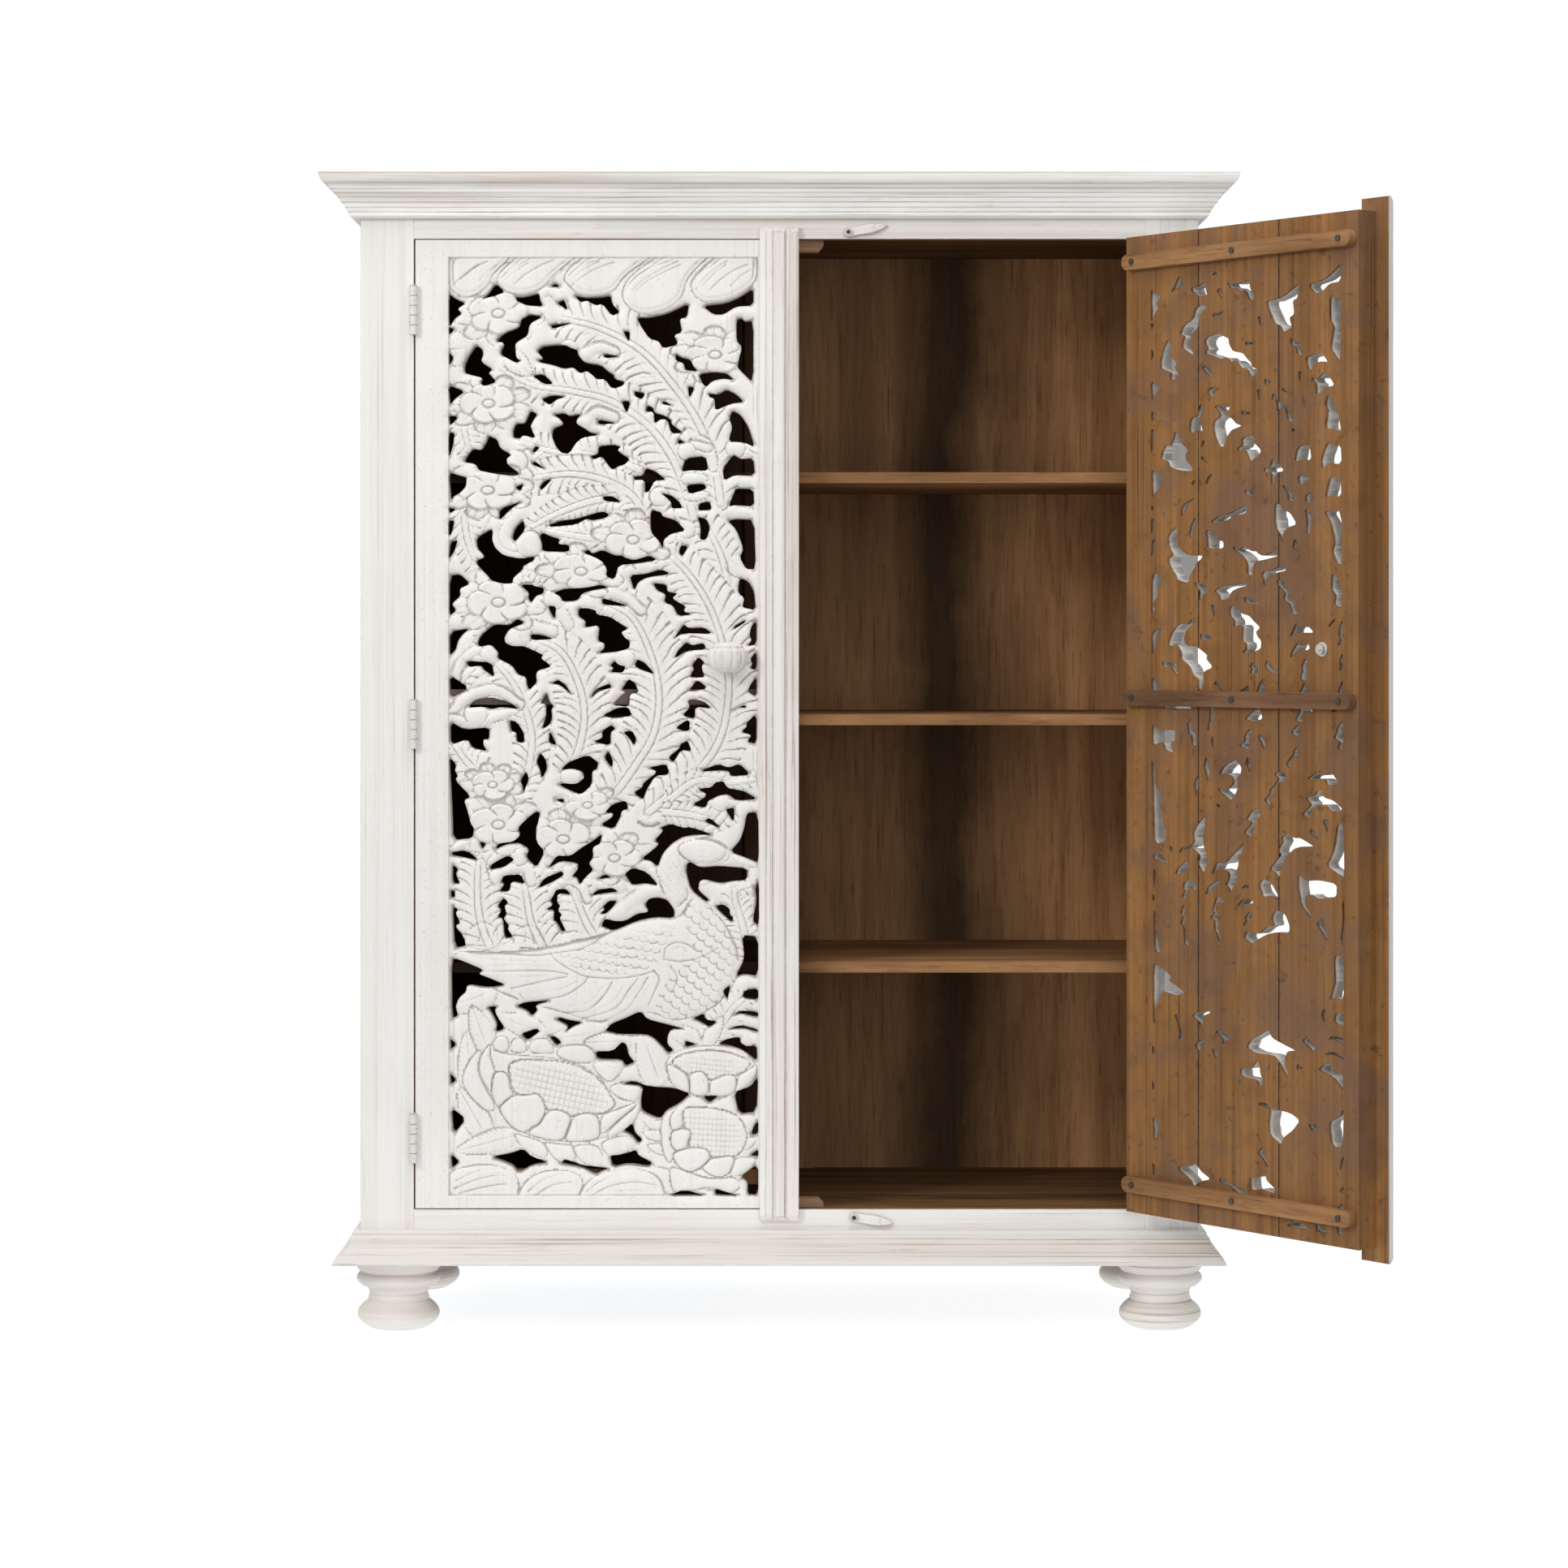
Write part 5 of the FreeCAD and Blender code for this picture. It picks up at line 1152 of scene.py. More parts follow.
def mixed(tree, factor, a, b, blend="MIX"):
    """Two colours mixed by a factor."""
    inputs = {key: value if isinstance(value, bpy.types.NodeSocket) else (*value, 1)
              for key, value in ((6, a), (7, b))}
    made = add_node(tree, "ShaderNodeMix", {0: factor, **inputs}, data_type="RGBA", blend_type=blend)
    return made.outputs[2]


def maths(tree, operation, a, b=0.0):
    """One operation on two values or sockets."""
    return add_node(tree, "ShaderNodeMath", {0: a, 1: b}, operation=operation).outputs[0]


def times(tree, a, b):
    """Two values or sockets multiplied."""
    return maths(tree, "MULTIPLY", a, b)


def tinted(tree, colour, mask, amount, tint):
    """A colour with an amount of a tint where a mask is."""
    return mixed(tree, times(tree, mask, amount), colour, tint)


def axes(tree, place):
    """The X, Y and Z of a place."""
    return add_node(tree, "ShaderNodeSeparateXYZ", {0: place}).outputs


def distance(tree, place):
    """How far a place is from the origin."""
    return add_node(tree, "ShaderNodeVectorMath", {0: place}, operation="LENGTH").outputs["Value"]


def noise(tree, place, scale, detail=4.0, roughness=0.55, distortion=0.0):
    """Fractal noise at a place."""
    made = add_node(tree, "ShaderNodeTexNoise", {"Vector": place, "Scale": scale, "Detail": detail,
                                                 "Roughness": roughness, "Distortion": distortion})
    return made.outputs["Fac"]


def begin(name, home=None):
    """A new material, its tree, its shader and its place in metres, brought home by a matrix."""
    material = bpy.data.materials.new(name)
    material.use_nodes = True
    tree = material.node_tree
    place = add_node(tree, "ShaderNodeTexCoord").outputs["Object"]
    if home:
        place = add_node(tree, "ShaderNodeMapping", {"Vector": place, "Location": home.to_translation(),
                                                     "Rotation": home.to_euler()}).outputs[0]
    return material, tree, tree.nodes["Principled BSDF"], place


# How much noise is squeezed along the grain and across it, for wood, paint streaks and long scratches
wood_squeeze, paint_squeeze, line_squeeze = (1, 14), (0.7, 44), (0.8, 130)


def along_grain(tree, place, grain, squeeze=wood_squeeze):
    """The place squeezed so that noise runs out along the grain, or round a turned piece."""
    along, across = squeeze
    lengthwise = "xy" if grain == "turned" else grain
    scales = tuple(along if axis in lengthwise else across for axis in "xyz")
    return add_node(tree, "ShaderNodeMapping", {"Vector": place, "Scale": scales}).outputs[0]


def hairlines(tree, place, grain, amount=0.0):
    """Long fine lines along the grain, from nothing to one; amount widens them."""
    line = noise(tree, along_grain(tree, place, grain, line_squeeze), 2.4, 3.0, 0.5)
    line = ramp(tree, line, (0.325 + amount, 1.0), (0.385 + amount, 0.0))
    return times(tree, line, ramp(tree, noise(tree, place, 5.0, 3.0), (0.4, 0.2), (0.6, 1.0)))


def finish(tree, shader, colour, roughness, height, strength, shine):
    """Colour, roughness, bump and shine of a material."""
    bump_reach = 0.0004
    bump = add_node(tree, "ShaderNodeBump", {"Height": height, "Strength": strength, "Distance": bump_reach})
    for key, socket in (("Base Color", colour), ("Roughness", roughness), ("Normal", bump.outputs[0])):
        tree.links.new(socket, shader.inputs[key])
    shader.inputs["Specular IOR Level"].default_value = shine


def worn_edge(tree, radius):
    """How near a sharp edge a place is, from nothing to one, within a radius in metres."""
    rounded = add_node(tree, "ShaderNodeBevel", {"Radius": radius}, samples=4).outputs[0]
    normal = add_node(tree, "ShaderNodeNewGeometry").outputs["Normal"]
    flat = add_node(tree, "ShaderNodeVectorMath", {0: rounded, 1: normal}, operation="DOT_PRODUCT")
    return rising(tree, maths(tree, "SUBTRACT", 1.0, flat.outputs["Value"]), 0.02, 0.2)


# Colours of the paint, the dirt and painted shade on it and the woods, dark and light
chalk = (0.805, 0.787, 0.752)
cream = (0.68, 0.625, 0.57)
greyed = (0.66, 0.64, 0.61)
worn = (0.42, 0.33, 0.26)
dirt_and_shade = (0.31, 0.27, 0.23)
bruised = (0.15, 0.088, 0.062)
pitch_brown = (0.02, 0.011, 0.006)
brown_dark, brown_light = (0.085, 0.040, 0.015), (0.38, 0.20, 0.082)
back_dark, back_light = (0.19, 0.084, 0.026), (0.35, 0.170, 0.058)
warm_dark, warm_light = (0.19, 0.088, 0.034), (0.42, 0.22, 0.095)

# How strongly the surfaces reflect, and reaches of wear, of painted shade along metal outlines and of bare
# strips in metres
wood_shine, paint_shine, screw_shine = 0.18, 0.2, 0.5
wear_reach, outline_reach = 0.0025, 0.0016
rim_width, hinge_strip, joint_width = 0.0006, 0.0022, 0.0026


def darker(colour, share):
    """A share of a colour."""
    return tuple(share * value for value in colour)


def bare_mask(tree, place, rub, inside=0.0, behind=0.0, front=0.0, beyond=0.0, within=0.0):
    """Where whitewashed wood has no paint, in metres: nearer to the middle than inside; or further back
    than behind from the front, and on the edge at beyond and beside the hinge, both within a distance."""
    apart = axes(tree, place)
    aside = maths(tree, "ABSOLUTE", apart["X"])
    if inside:
        return maths(tree, "LESS_THAN", aside, inside)
    inward = maths(tree, "SUBTRACT", apart["Y"], front)
    inward = maths(tree, "ADD", inward, times(tree, rub, 0.15 * behind))
    bare = rising(tree, maths(tree, "DIVIDE", inward, 1.25 * behind), 0.78, 0.84)
    if beyond:
        bare = maths(tree, "MAXIMUM", bare, maths(tree, "GREATER_THAN", aside, beyond - rim_width))
        bare = maths(tree, "MAXIMUM", bare, maths(tree, "LESS_THAN", aside, hinge_strip))
    if within:
        bare = times(tree, bare, maths(tree, "LESS_THAN", aside, within))
    return bare


def stained_wood(tree, place, grain, broad, lines, scratched, rub, joints):
    """The bare wood behind the paint: stained, bruised and chipped, with dark joints between the boards."""
    stain = rising(tree, noise(tree, along_grain(tree, place, grain), 0.9, 6.0, 0.7), 0.4, 0.7)
    smudge = rising(tree, noise(tree, place, 22.0, 3.0, 0.6), 0.5, 0.75)
    bruise = rising(tree, noise(tree, place, 9.0, 5.0, 0.6, 0.5), 0.46, 0.62)
    chipped = rising(tree, noise(tree, place, 75.0, 5.0, 0.65, 0.6), 0.60, 0.67)
    wood = mixed(tree, rising(tree, broad, 0.3, 0.7), back_dark, back_light)
    marks = ((lines, 0.5, brown_dark), (scratched, 0.7, pitch_brown), (stain, 0.5, brown_dark),
             (bruise, 0.55, bruised), (smudge, 0.35, brown_dark), (chipped, 0.4, pitch_brown))
    for mask, amount, tint in marks:
        wood = tinted(tree, wood, mask, amount, tint)
    aside = maths(tree, "ABSOLUTE", axes(tree, place)["X"])
    for joint in joints:
        beside = maths(tree, "ABSOLUTE", maths(tree, "SUBTRACT", aside, joint))
        beside = maths(tree, "LESS_THAN", beside, times(tree, rub, joint_width))
        wood = tinted(tree, wood, beside, 0.85, pitch_brown)
    return wood


def whitewash(name, grain, home=None, streaks=1.0, carved=False, bare=None, joints=(), coat=chalk,
              scratches=0.0, dirty_and_shaded=(), wear=0.75):
    """Whitewashed wood: chalky paint with cream streaks along the grain, worn edges on plain pieces, dirt
    and painted shade in the hollows of the carving, darkening where the dirty_and_shaded axis is over its
    value in metres (dust on the cornice's top, painted shade along a turn button's back), and bare wood
    where bare_mask says."""
    material, tree, shader, place = begin(name, home)
    broad = noise(tree, along_grain(tree, place, grain, paint_squeeze), 1.8, 5.0, 0.6, 0.4)
    fine = noise(tree, along_grain(tree, place, grain), 14.0, 6.0, 0.65)
    blotch = noise(tree, place, 7.0, 4.0)
    rub = noise(tree, place, 60.0, 5.0, 0.7)
    lines = ramp(tree, fine, (0.26, 1.0), (0.40, 0.0))
    scratched = hairlines(tree, place, grain, scratches)
    colour = tinted(tree, coat, rising(tree, broad, 0.44, 0.68), 0.75 * streaks, cream)
    colour = tinted(tree, colour, lines, 0.35 * streaks, worn)
    colour = tinted(tree, colour, scratched, 0.6 * streaks, worn)
    # Darkening where the axis is over its value: dust on the cornice's top, painted shade along a turn
    # button's back
    if dirty_and_shaded:
        axis, over = dirty_and_shaded
        above = maths(tree, "GREATER_THAN", axes(tree, place)[axis], over)
        colour = mixed(tree, times(tree, above, ramp(tree, broad, (0.3, 0.45), (0.7, 0.9))), colour, dirt_and_shade)
    colour = tinted(tree, colour, rising(tree, blotch, 0.35, 0.75), 0.25, greyed)
    if carved:
        # Dirt and painted shade in the carving's grooves and hollows, from the cavity attribute
        hollow = add_node(tree, "ShaderNodeAttribute", attribute_name="cavity").outputs["Fac"]
        hollow = times(tree, rising(tree, hollow, 0.05, 0.55), ramp(tree, rub, (0.25, 0.5), (0.6, 1.0)))
        colour = tinted(tree, colour, hollow, 0.76, dirt_and_shade)
        speck = rising(tree, noise(tree, place, 240.0, 4.0, 0.7), 0.60, 0.72)
        colour = tinted(tree, colour, speck, 0.45, dirt_and_shade)
    else:
        edge = times(tree, worn_edge(tree, wear_reach), ramp(tree, rub, (0.40, 0.1), (0.60, 1.0)))
        colour = tinted(tree, colour, edge, wear, worn)
    if bare:
        wood = stained_wood(tree, place, grain, broad, lines, scratched, rub, joints)
        colour = mixed(tree, bare_mask(tree, place, rub, **bare), colour, wood)
    height = maths(tree, "ADD", times(tree, fine, 0.7), times(tree, rub, 0.35))
    finish(tree, shader, colour, ramp(tree, blotch, (0.3, 0.5), (0.7, 0.68)), height, 0.35, paint_shine)
    return material


def shaded(tree, place, colour, shades):
    """A colour in shade: shades lists places across in metres, each with how much of the colour is left
    there inside the cabinet."""
    spread, middle, shift = 0.14, 0.5, 0.43
    behind, left_outside = 0.001, (0.4, 0.4, 0.4)
    wander = times(tree, noise(tree, place, 3.0, 5.0, 0.6), spread)
    apart = axes(tree, place)
    across = maths(tree, "ADD", maths(tree, "ADD", apart["X"], wander), shift)
    left = ramp(tree, across, *((middle + x, value) for x, value in shades))
    outside = maths(tree, "GREATER_THAN", apart["Y"], back_place - behind)
    return mixed(tree, 1.0, colour, mixed(tree, outside, left, left_outside), "MULTIPLY")


def bare_wood(name, grain, dark, light, home=None, band=0.0, shades=()):
    """Bare or oiled wood with rings and fine pores along the grain, stained bands, and shade if any."""
    material, tree, shader, place = begin(name, home)
    grained = along_grain(tree, place, grain)
    broad = noise(tree, grained, 1.6, 5.0, 0.6, 0.8)
    fine = noise(tree, grained, 16.0, 5.0, 0.7)
    colour = mixed(tree, rising(tree, broad, 0.32, 0.68), dark, light)
    colour = tinted(tree, colour, ramp(tree, fine, (0.30, 1.0), (0.48, 0.0)), 0.6, darker(dark, 0.35))
    colour = tinted(tree, colour, hairlines(tree, place, grain), 0.35, darker(dark, 0.3))
    if band:
        stain = rising(tree, noise(tree, place, 3.4, 4.0, 0.6), 0.4, 0.7)
        colour = tinted(tree, colour, stain, band, darker(dark, 0.5))
    if shades:
        colour = shaded(tree, place, colour, shades)
    height = maths(tree, "ADD", times(tree, fine, 0.8), times(tree, broad, 0.2))
    finish(tree, shader, colour, ramp(tree, broad, (0.3, 0.7), (0.7, 0.85)), height, 0.4, wood_shine)
    return material


def painted_screws(name, recess):
    """Screw heads under the whitewash, painted dark in their recesses as painted shade, for a pair of screws
    one above the other.
    """
    ragged, painted = 0.001, (0.62, 0.60, 0.57)
    material, tree, shader, place = begin(name)
    rub = noise(tree, place, 600.0, 4.0, 0.7)
    colour = mixed(tree, ramp(tree, rub, (0.4, 0.0), (0.7, 0.8)), painted, dirt_and_shade)
    apart = axes(tree, place)
    for level in ("top", "bottom"):
        pivot, _ = joint_at(f"turn_button_{level}_pivot")
        aside = maths(tree, "SUBTRACT", apart["X"], pivot[0])
        above = maths(tree, "SUBTRACT", apart["Z"], pivot[2])
        away = distance(tree, add_node(tree, "ShaderNodeCombineXYZ", {0: aside, 1: above}).outputs[0])
        # A dark disc of painted shade in each screw's recess
        near = maths(tree, "LESS_THAN", away, maths(tree, "ADD", recess, times(tree, rub, ragged)))
        colour = mixed(tree, near, colour, pitch_brown)
    finish(tree, shader, colour, ramp(tree, rub, (0.3, 0.4), (0.7, 0.6)), rub, 0.3, screw_shine)
    return material


def metal(name, bare, coat, bare_share, rough, outline=0.0):
    """Metal with an uneven coat: bare_share is how much shows through, outline how dark its edges are
    painted as shade in gaps between parts and along outlines.
    """
    material, tree, shader, place = begin(name)
    patch = noise(tree, place, 260.0, 5.0, 0.65)
    shown = rising(tree, patch, 0.62 - 0.3 * bare_share, 0.70 - 0.3 * bare_share)
    colour = mixed(tree, shown, coat, bare)
    # Painted shade along the edges, for the dark gaps between a hinge's knuckles and round its leaves
    if outline:
        colour = tinted(tree, colour, worn_edge(tree, outline_reach), outline, pitch_brown)
    tree.links.new(times(tree, shown, 0.9), shader.inputs["Metallic"])
    roughness = ramp(tree, patch, (0.3, rough + 0.2), (0.7, rough))
    finish(tree, shader, colour, roughness, patch, 0.25, screw_shine)
    return material


def joint_places(side):
    """Where a door's boards meet, across its frame in metres."""
    return [local_box(side, board)[1][0] * mm for board in ("hinge_board", "middle_board")]


# Shade across the inside: places in metres from the middle, each with the share of the colour that is left
back_shades = ((-0.5, 0.08), (-0.05, 0.08), (0.05, 0.385), (0.16, 0.37), (0.215, 0.10), (0.25, 0.10),
               (0.31, 0.50), (0.40, 1.0), (0.46, 0.9))
shelf_shades = ((-0.5, 0.12), (-0.05, 0.12), (0.04, 1.0))
inside_shades = ((-0.5, 0.18), (-0.05, 0.18), (0.04, 0.7))
turned_home = door_places["right"].inverted()
front_place = low_high("face_left_stile")[0][1] * mm
back_place = low_high("back_panel_left")[1][1] * mm
side_inner_place = -low_high("side_panel_left")[1][0] * mm
cornice_top = low_high("cornice_front")[1][2] * mm

# In metres: how far behind its front a piece's paint ends, where each door's free edge is from its hinge,
# how far from the middle a stile is bare, how far paint laps over an edge, where dirt starts below the
# cornice's top, where painted shade starts behind the buttons' fronts, and how far the painted shade reaches
# round the screws
frame_bare, bar_bare, board_bare = 0.004, 0.0052, 0.032
free_edges = {"left": 0.5025, "right": 0.422}
stile_inner, paint_lap = 0.5, 0.0005
cornice_dust, button_back, screw_recess = 0.0016, 0.0036, 0.0024
rail_bare = {"behind": frame_bare, "front": front_place}
finishes = {
    "top": whitewash("whitewash_across", "x", streaks=1.5),
    # The cornice's coat is lighter than the rest of the whitewash, as painted light on its downward-facing
    # slopes
    "cornice": whitewash("whitewash_cornice", "x", streaks=1.3, coat=(0.96, 0.945, 0.915), scratches=0.03,
                         wear=0.2, dirty_and_shaded=("Z", cornice_top - cornice_dust)),
    "plinth": whitewash("whitewash_plinth", "x", streaks=1.9, coat=(0.70, 0.675, 0.637), scratches=0.06),
    "returns": whitewash("whitewash_sides", "y"),
    "rail": whitewash("whitewash_rail", "x", streaks=1.5, bare=rail_bare),
    "stile": whitewash("whitewash_stile", "z", streaks=0.75, bare={**rail_bare, "within": stile_inner}),
    "side": whitewash("whitewash_side", "z", bare={"inside": side_inner_place + paint_lap}),
    "knob": whitewash("whitewash_knob", "z", streaks=1.3, coat=(0.72, 0.715, 0.68)),
    "foot": whitewash("whitewash_turned", "turned", streaks=1.5, coat=(0.74, 0.715, 0.675), scratches=0.03),
    # Painted shade on each turn button's back, where it stands off the rail
    "button": whitewash("whitewash_button", "x", streaks=0.8, dirty_and_shaded=("Y", -button_back)),
    "inside_back": bare_wood("brown_back", "z", (0.53, 0.26, 0.11), (0.98, 0.55, 0.255), band=0.25,
                             shades=back_shades),
    "inside_across": bare_wood("brown_across", "x", brown_dark, brown_light, band=0.4, shades=inside_shades),
    "shelf": bare_wood("brown_shelf", "x", warm_dark, warm_light, band=0.55, shades=shelf_shades),
    "batten_left": bare_wood("brown_batten", "x", warm_dark, warm_light),
    "batten_sprayed": bare_wood("sprayed_batten", "x", (0.22, 0.165, 0.155), (0.45, 0.37, 0.36)),
    "batten_right": bare_wood("brown_batten_turned", "x", warm_dark, warm_light, turned_home, band=0.5),
    "batten_dark": bare_wood("brown_batten_dark", "x", brown_dark, (0.24, 0.125, 0.07), turned_home,
                             band=0.5),
    "raw": bare_wood("raw_wood", "x", (0.30, 0.17, 0.10), (0.46, 0.29, 0.18)),
    "painted_screw": painted_screws("painted_screw", screw_recess),
    "hinge": metal("painted_hinge", (0.30, 0.28, 0.26), (0.68, 0.665, 0.64), 0.12, 0.4, 0.85),
    "steel": metal("worn_steel", (0.55, 0.54, 0.52), (0.22, 0.19, 0.16), 1.0, 0.28),
    "dark_screw": metal("dark_screw", (0.10, 0.085, 0.07), (0.03, 0.024, 0.018), 0.5, 0.4),
}
for side, home in (("left", None), ("right", turned_home)):
    finishes[f"carved_{side}"] = whitewash(f"whitewash_carved_{side}", "z", streaks=0.35, carved=True,
                                           bare={"behind": board_bare, "beyond": free_edges[side]},
                                           joints=joint_places(side))
    finishes[f"bar_{side}"] = whitewash(f"whitewash_bar_{side}", "z", home, streaks=1.7,
                                        bare={"behind": bar_bare})


# Profiles: corners as shares of two sizes, each with how far the side after it bows to its right
def bowed(corners, width, height, pieces=8):
    """The profile's points in millimetres, its bowed sides drawn in short pieces."""
    points = []
    for (x, y, bow), (next_x, next_y, _) in zip(corners, corners[1:] + corners[-1:]):
        start, end = np.array((x * width, y * height)), np.array((next_x * width, next_y * height))
        step = end - start
        control = (start + end) / 2 + 2 * bow * np.array((step[1], -step[0]))
        for share in (np.arange(pieces) / pieces if bow else (0.0,)):
            points.append((1 - share)**2 * start + 2 * share * (1 - share) * control + share**2 * end)
    return points


def circle(turns):
    """The angles of points round a circle."""
    return [2 * math.pi * count / turns for count in range(turns)]


def lathed(name, outline, centre, base):
    """A closed turned piece from a (radius, height) outline that starts and ends on its axis."""
    turns, rings = 96, outline[1:-1]
    points = [(*centre, base + outline[0][1]), (*centre, base + outline[-1][1])]
    for radius, height in rings:
        for angle in circle(turns):
            points.append((centre[0] + radius * math.cos(angle), centre[1] + radius * math.sin(angle),
                           base + height))
    faces = ring_faces(len(rings), turns, 2)
    last = len(points) - turns
    for count in range(turns):
        after = (count + 1) % turns
        faces.append((0, 2 + after, 2 + count))
        faces.append((1, last + count, last + after))
    return new_mesh(name, points, faces, smooth_below=40)


# Turned feet
foot_outline_shares = (
    (0, 0, 0), (0.64, 0, 0), (0.68, 0.01, 0.42), (0.71, 0.40, 0), (0.72, 0.43, 0), (0.69, 0.47, 0),
    (0.69, 0.50, -0.2), (0.86, 0.61, 0), (0.893, 0.625, 0.33), (0.893, 0.80, 0), (0.915, 0.815, 0),
    (0.955, 0.84, 0), (0.975, 0.86, 0), (1, 0.985, 0), (0.98, 1, 0), (0, 1, 0),
)
for name in ("front_left", "front_right", "back_left", "back_right"):
    low, high = low_high(f"foot_{name}")
    outline = bowed(foot_outline_shares, (high[0] - low[0]) / 2, high[2] - low[2], pieces=14)
    foot = lathed(f"turned_foot_{name}", outline, ((low[0] + high[0]) / 2, (low[1] + high[1]) / 2), low[2])
    stand_in(foot, "carcass", finishes["foot"], f"foot_{name}")

# Mouldings, mitred at the front corners
moulding_outline_shares = {
    "cornice": (
        (0, 0, 0), (0.165, 0, 0), (0.18, 0.02, 0), (0.235, 0.03, 0.25), (0.25, 0.13, 0), (0.31, 0.145, 0),
        (0.335, 0.235, 0.05), (0.385, 0.25, 0), (0.42, 0.345, 0.05), (0.475, 0.36, 0), (0.51, 0.45, 0.05),
        (0.56, 0.465, 0), (0.595, 0.55, 0.05), (0.65, 0.565, 0), (0.69, 0.64, 0.05), (0.74, 0.655, 0),
        (0.775, 0.73, 0.05), (0.825, 0.745, 0), (0.88, 0.765, 0.08), (0.985, 0.93, 0), (1, 0.975, 0.2),
        (0.975, 1, 0), (0, 1, 0),
    ),
    "plinth": (
        (0, 0, 0), (0.97, 0, 0), (1, 0.04, 0.04), (0.75, 0.35, 0), (0.69, 0.37, -0.16), (0.42, 0.74, 0.1),
        (0.33, 0.83, 0), (0.30, 0.86, 0.1), (0.25, 0.985, 0), (0.22, 1, 0), (0, 1, 0),
    ),
}
wall_low, wall_high = low_high("side_panel_left")
face_low, _ = low_high("face_left_stile")
half_width = -wall_low[0]
front, back = face_low[1], wall_high[1]


def moulding(name, side):
    """One run of a moulding from its outline, with mitred ends at the front corners."""
    low, high = low_high(f"{name}_{side}")
    reach = -half_width - low_high(f"{name}_left")[0][0]
    points = bowed(moulding_outline_shares[name], reach, high[2] - low[2])
    runs = 24
    corners = []
    for out, up in points:
        for share in np.linspace(0, 1, runs + 1):
            if side == "front":
                corners.append(((half_width + out) * (2 * share - 1), front - out, low[2] + up))
            else:
                away = -half_width - out if side == "left" else half_width + out
                corners.append((away, back + (front - out - back) * share, low[2] + up))
    faces = []
    row = runs + 1
    for ring in range(len(points)):
        after = (ring + 1) % len(points)
        for count in range(runs):
            faces.append((ring * row + count, ring * row + count + 1, after * row + count + 1,
                          after * row + count))
    faces.append(tuple(ring * row for ring in range(len(points))))
    faces.append(tuple(ring * row + runs for ring in reversed(range(len(points)))))
    if side == "right":
        faces = [face[::-1] for face in faces]
    made = new_mesh(f"{name}_moulding_{side}", corners, faces, smooth_below=32)
    material = finishes[name if side == "front" else "returns"]
    stand_in(made, "carcass", material, f"{name}_{side}")


for name in moulding_outline_shares:
    for side in ("front", "left", "right"):
        moulding(name, side)

# Carved doors
for side in ("left", "right"):
    for board in ("hinge_board", "middle_board", "meeting_board"):
        carved_board(side, board, finishes[f"carved_{side}"])

# Meeting bars: thickness over the distance from a long edge, and from an end, as shares
bar_rise_shares = ((0, 0.80), (0.02, 0.86), (0.15, 0.88), (0.17, 0.78), (0.315, 0.78), (0.33, 0.60),
                   (0.345, 0.60), (0.36, 0.86), (0.385, 0.98), (0.5, 1.0))
bar_end_shares = ((0, 0.42), (0.02, 0.46), (0.09, 0.72), (0.12, 0.74), (0.14, 0.98), (0.2, 1.0))
bar_trims = {"left": 0, "right": 5.5}
bar_stations = 60


def meeting_bar(side):
    """A door's moulded meeting bar."""
    low, high = local_box(side, "meeting_bar")
    width, thickness, length = high - low
    width -= bar_trims[side]
    places = [share * width for share, _ in bar_rise_shares]
    rises = [rise for _, rise in bar_rise_shares]
    ends = [share * width for share, _ in bar_end_shares]
    end_rises = [rise for _, rise in bar_end_shares]
    across = sorted({*places, *((1 - share) * width for share, _ in bar_rise_shares)})
    between = np.linspace(ends[-1], length - ends[-1], bar_stations)[1:-1]
    up = [*ends, *between, *(length - end for end in ends[::-1])]
    points = []
    for z in up:
        end_rise = np.interp(min(z, length - z), ends, end_rises)
        for x in across:
            rise = min(np.interp(min(x, width - x), places, rises), end_rise)
            points.append((low[0] + x, high[1] - rise * thickness, low[2] + z))
    faces = backed_faces(points, len(up), len(across), high[1])
    if side == "right":
        points, faces = mirrored(points, faces)
    points = [door_places[side] @ Vector(np.array(point) * mm) / mm for point in points]
    made = new_mesh(f"{side}_meeting_bar_moulded", points, faces, smooth_below=30)
    stand_in(made, f"{side}_door", finishes[f"bar_{side}"], f"{side}_meeting_bar")


# Knobs: grooves round them, each with its angle above the middle and its depth as a share, ribs and neck
knob_grooves = ((0.66, 0.13), (-0.92, 0.09))
knob_groove_width, knob_rib_share, knob_lift_share = 0.09, 0.1, 0.06
knob_ribs = 12
knob_neck, knob_neck_reach, knob_collar = 9.0, 12.0, 1.5


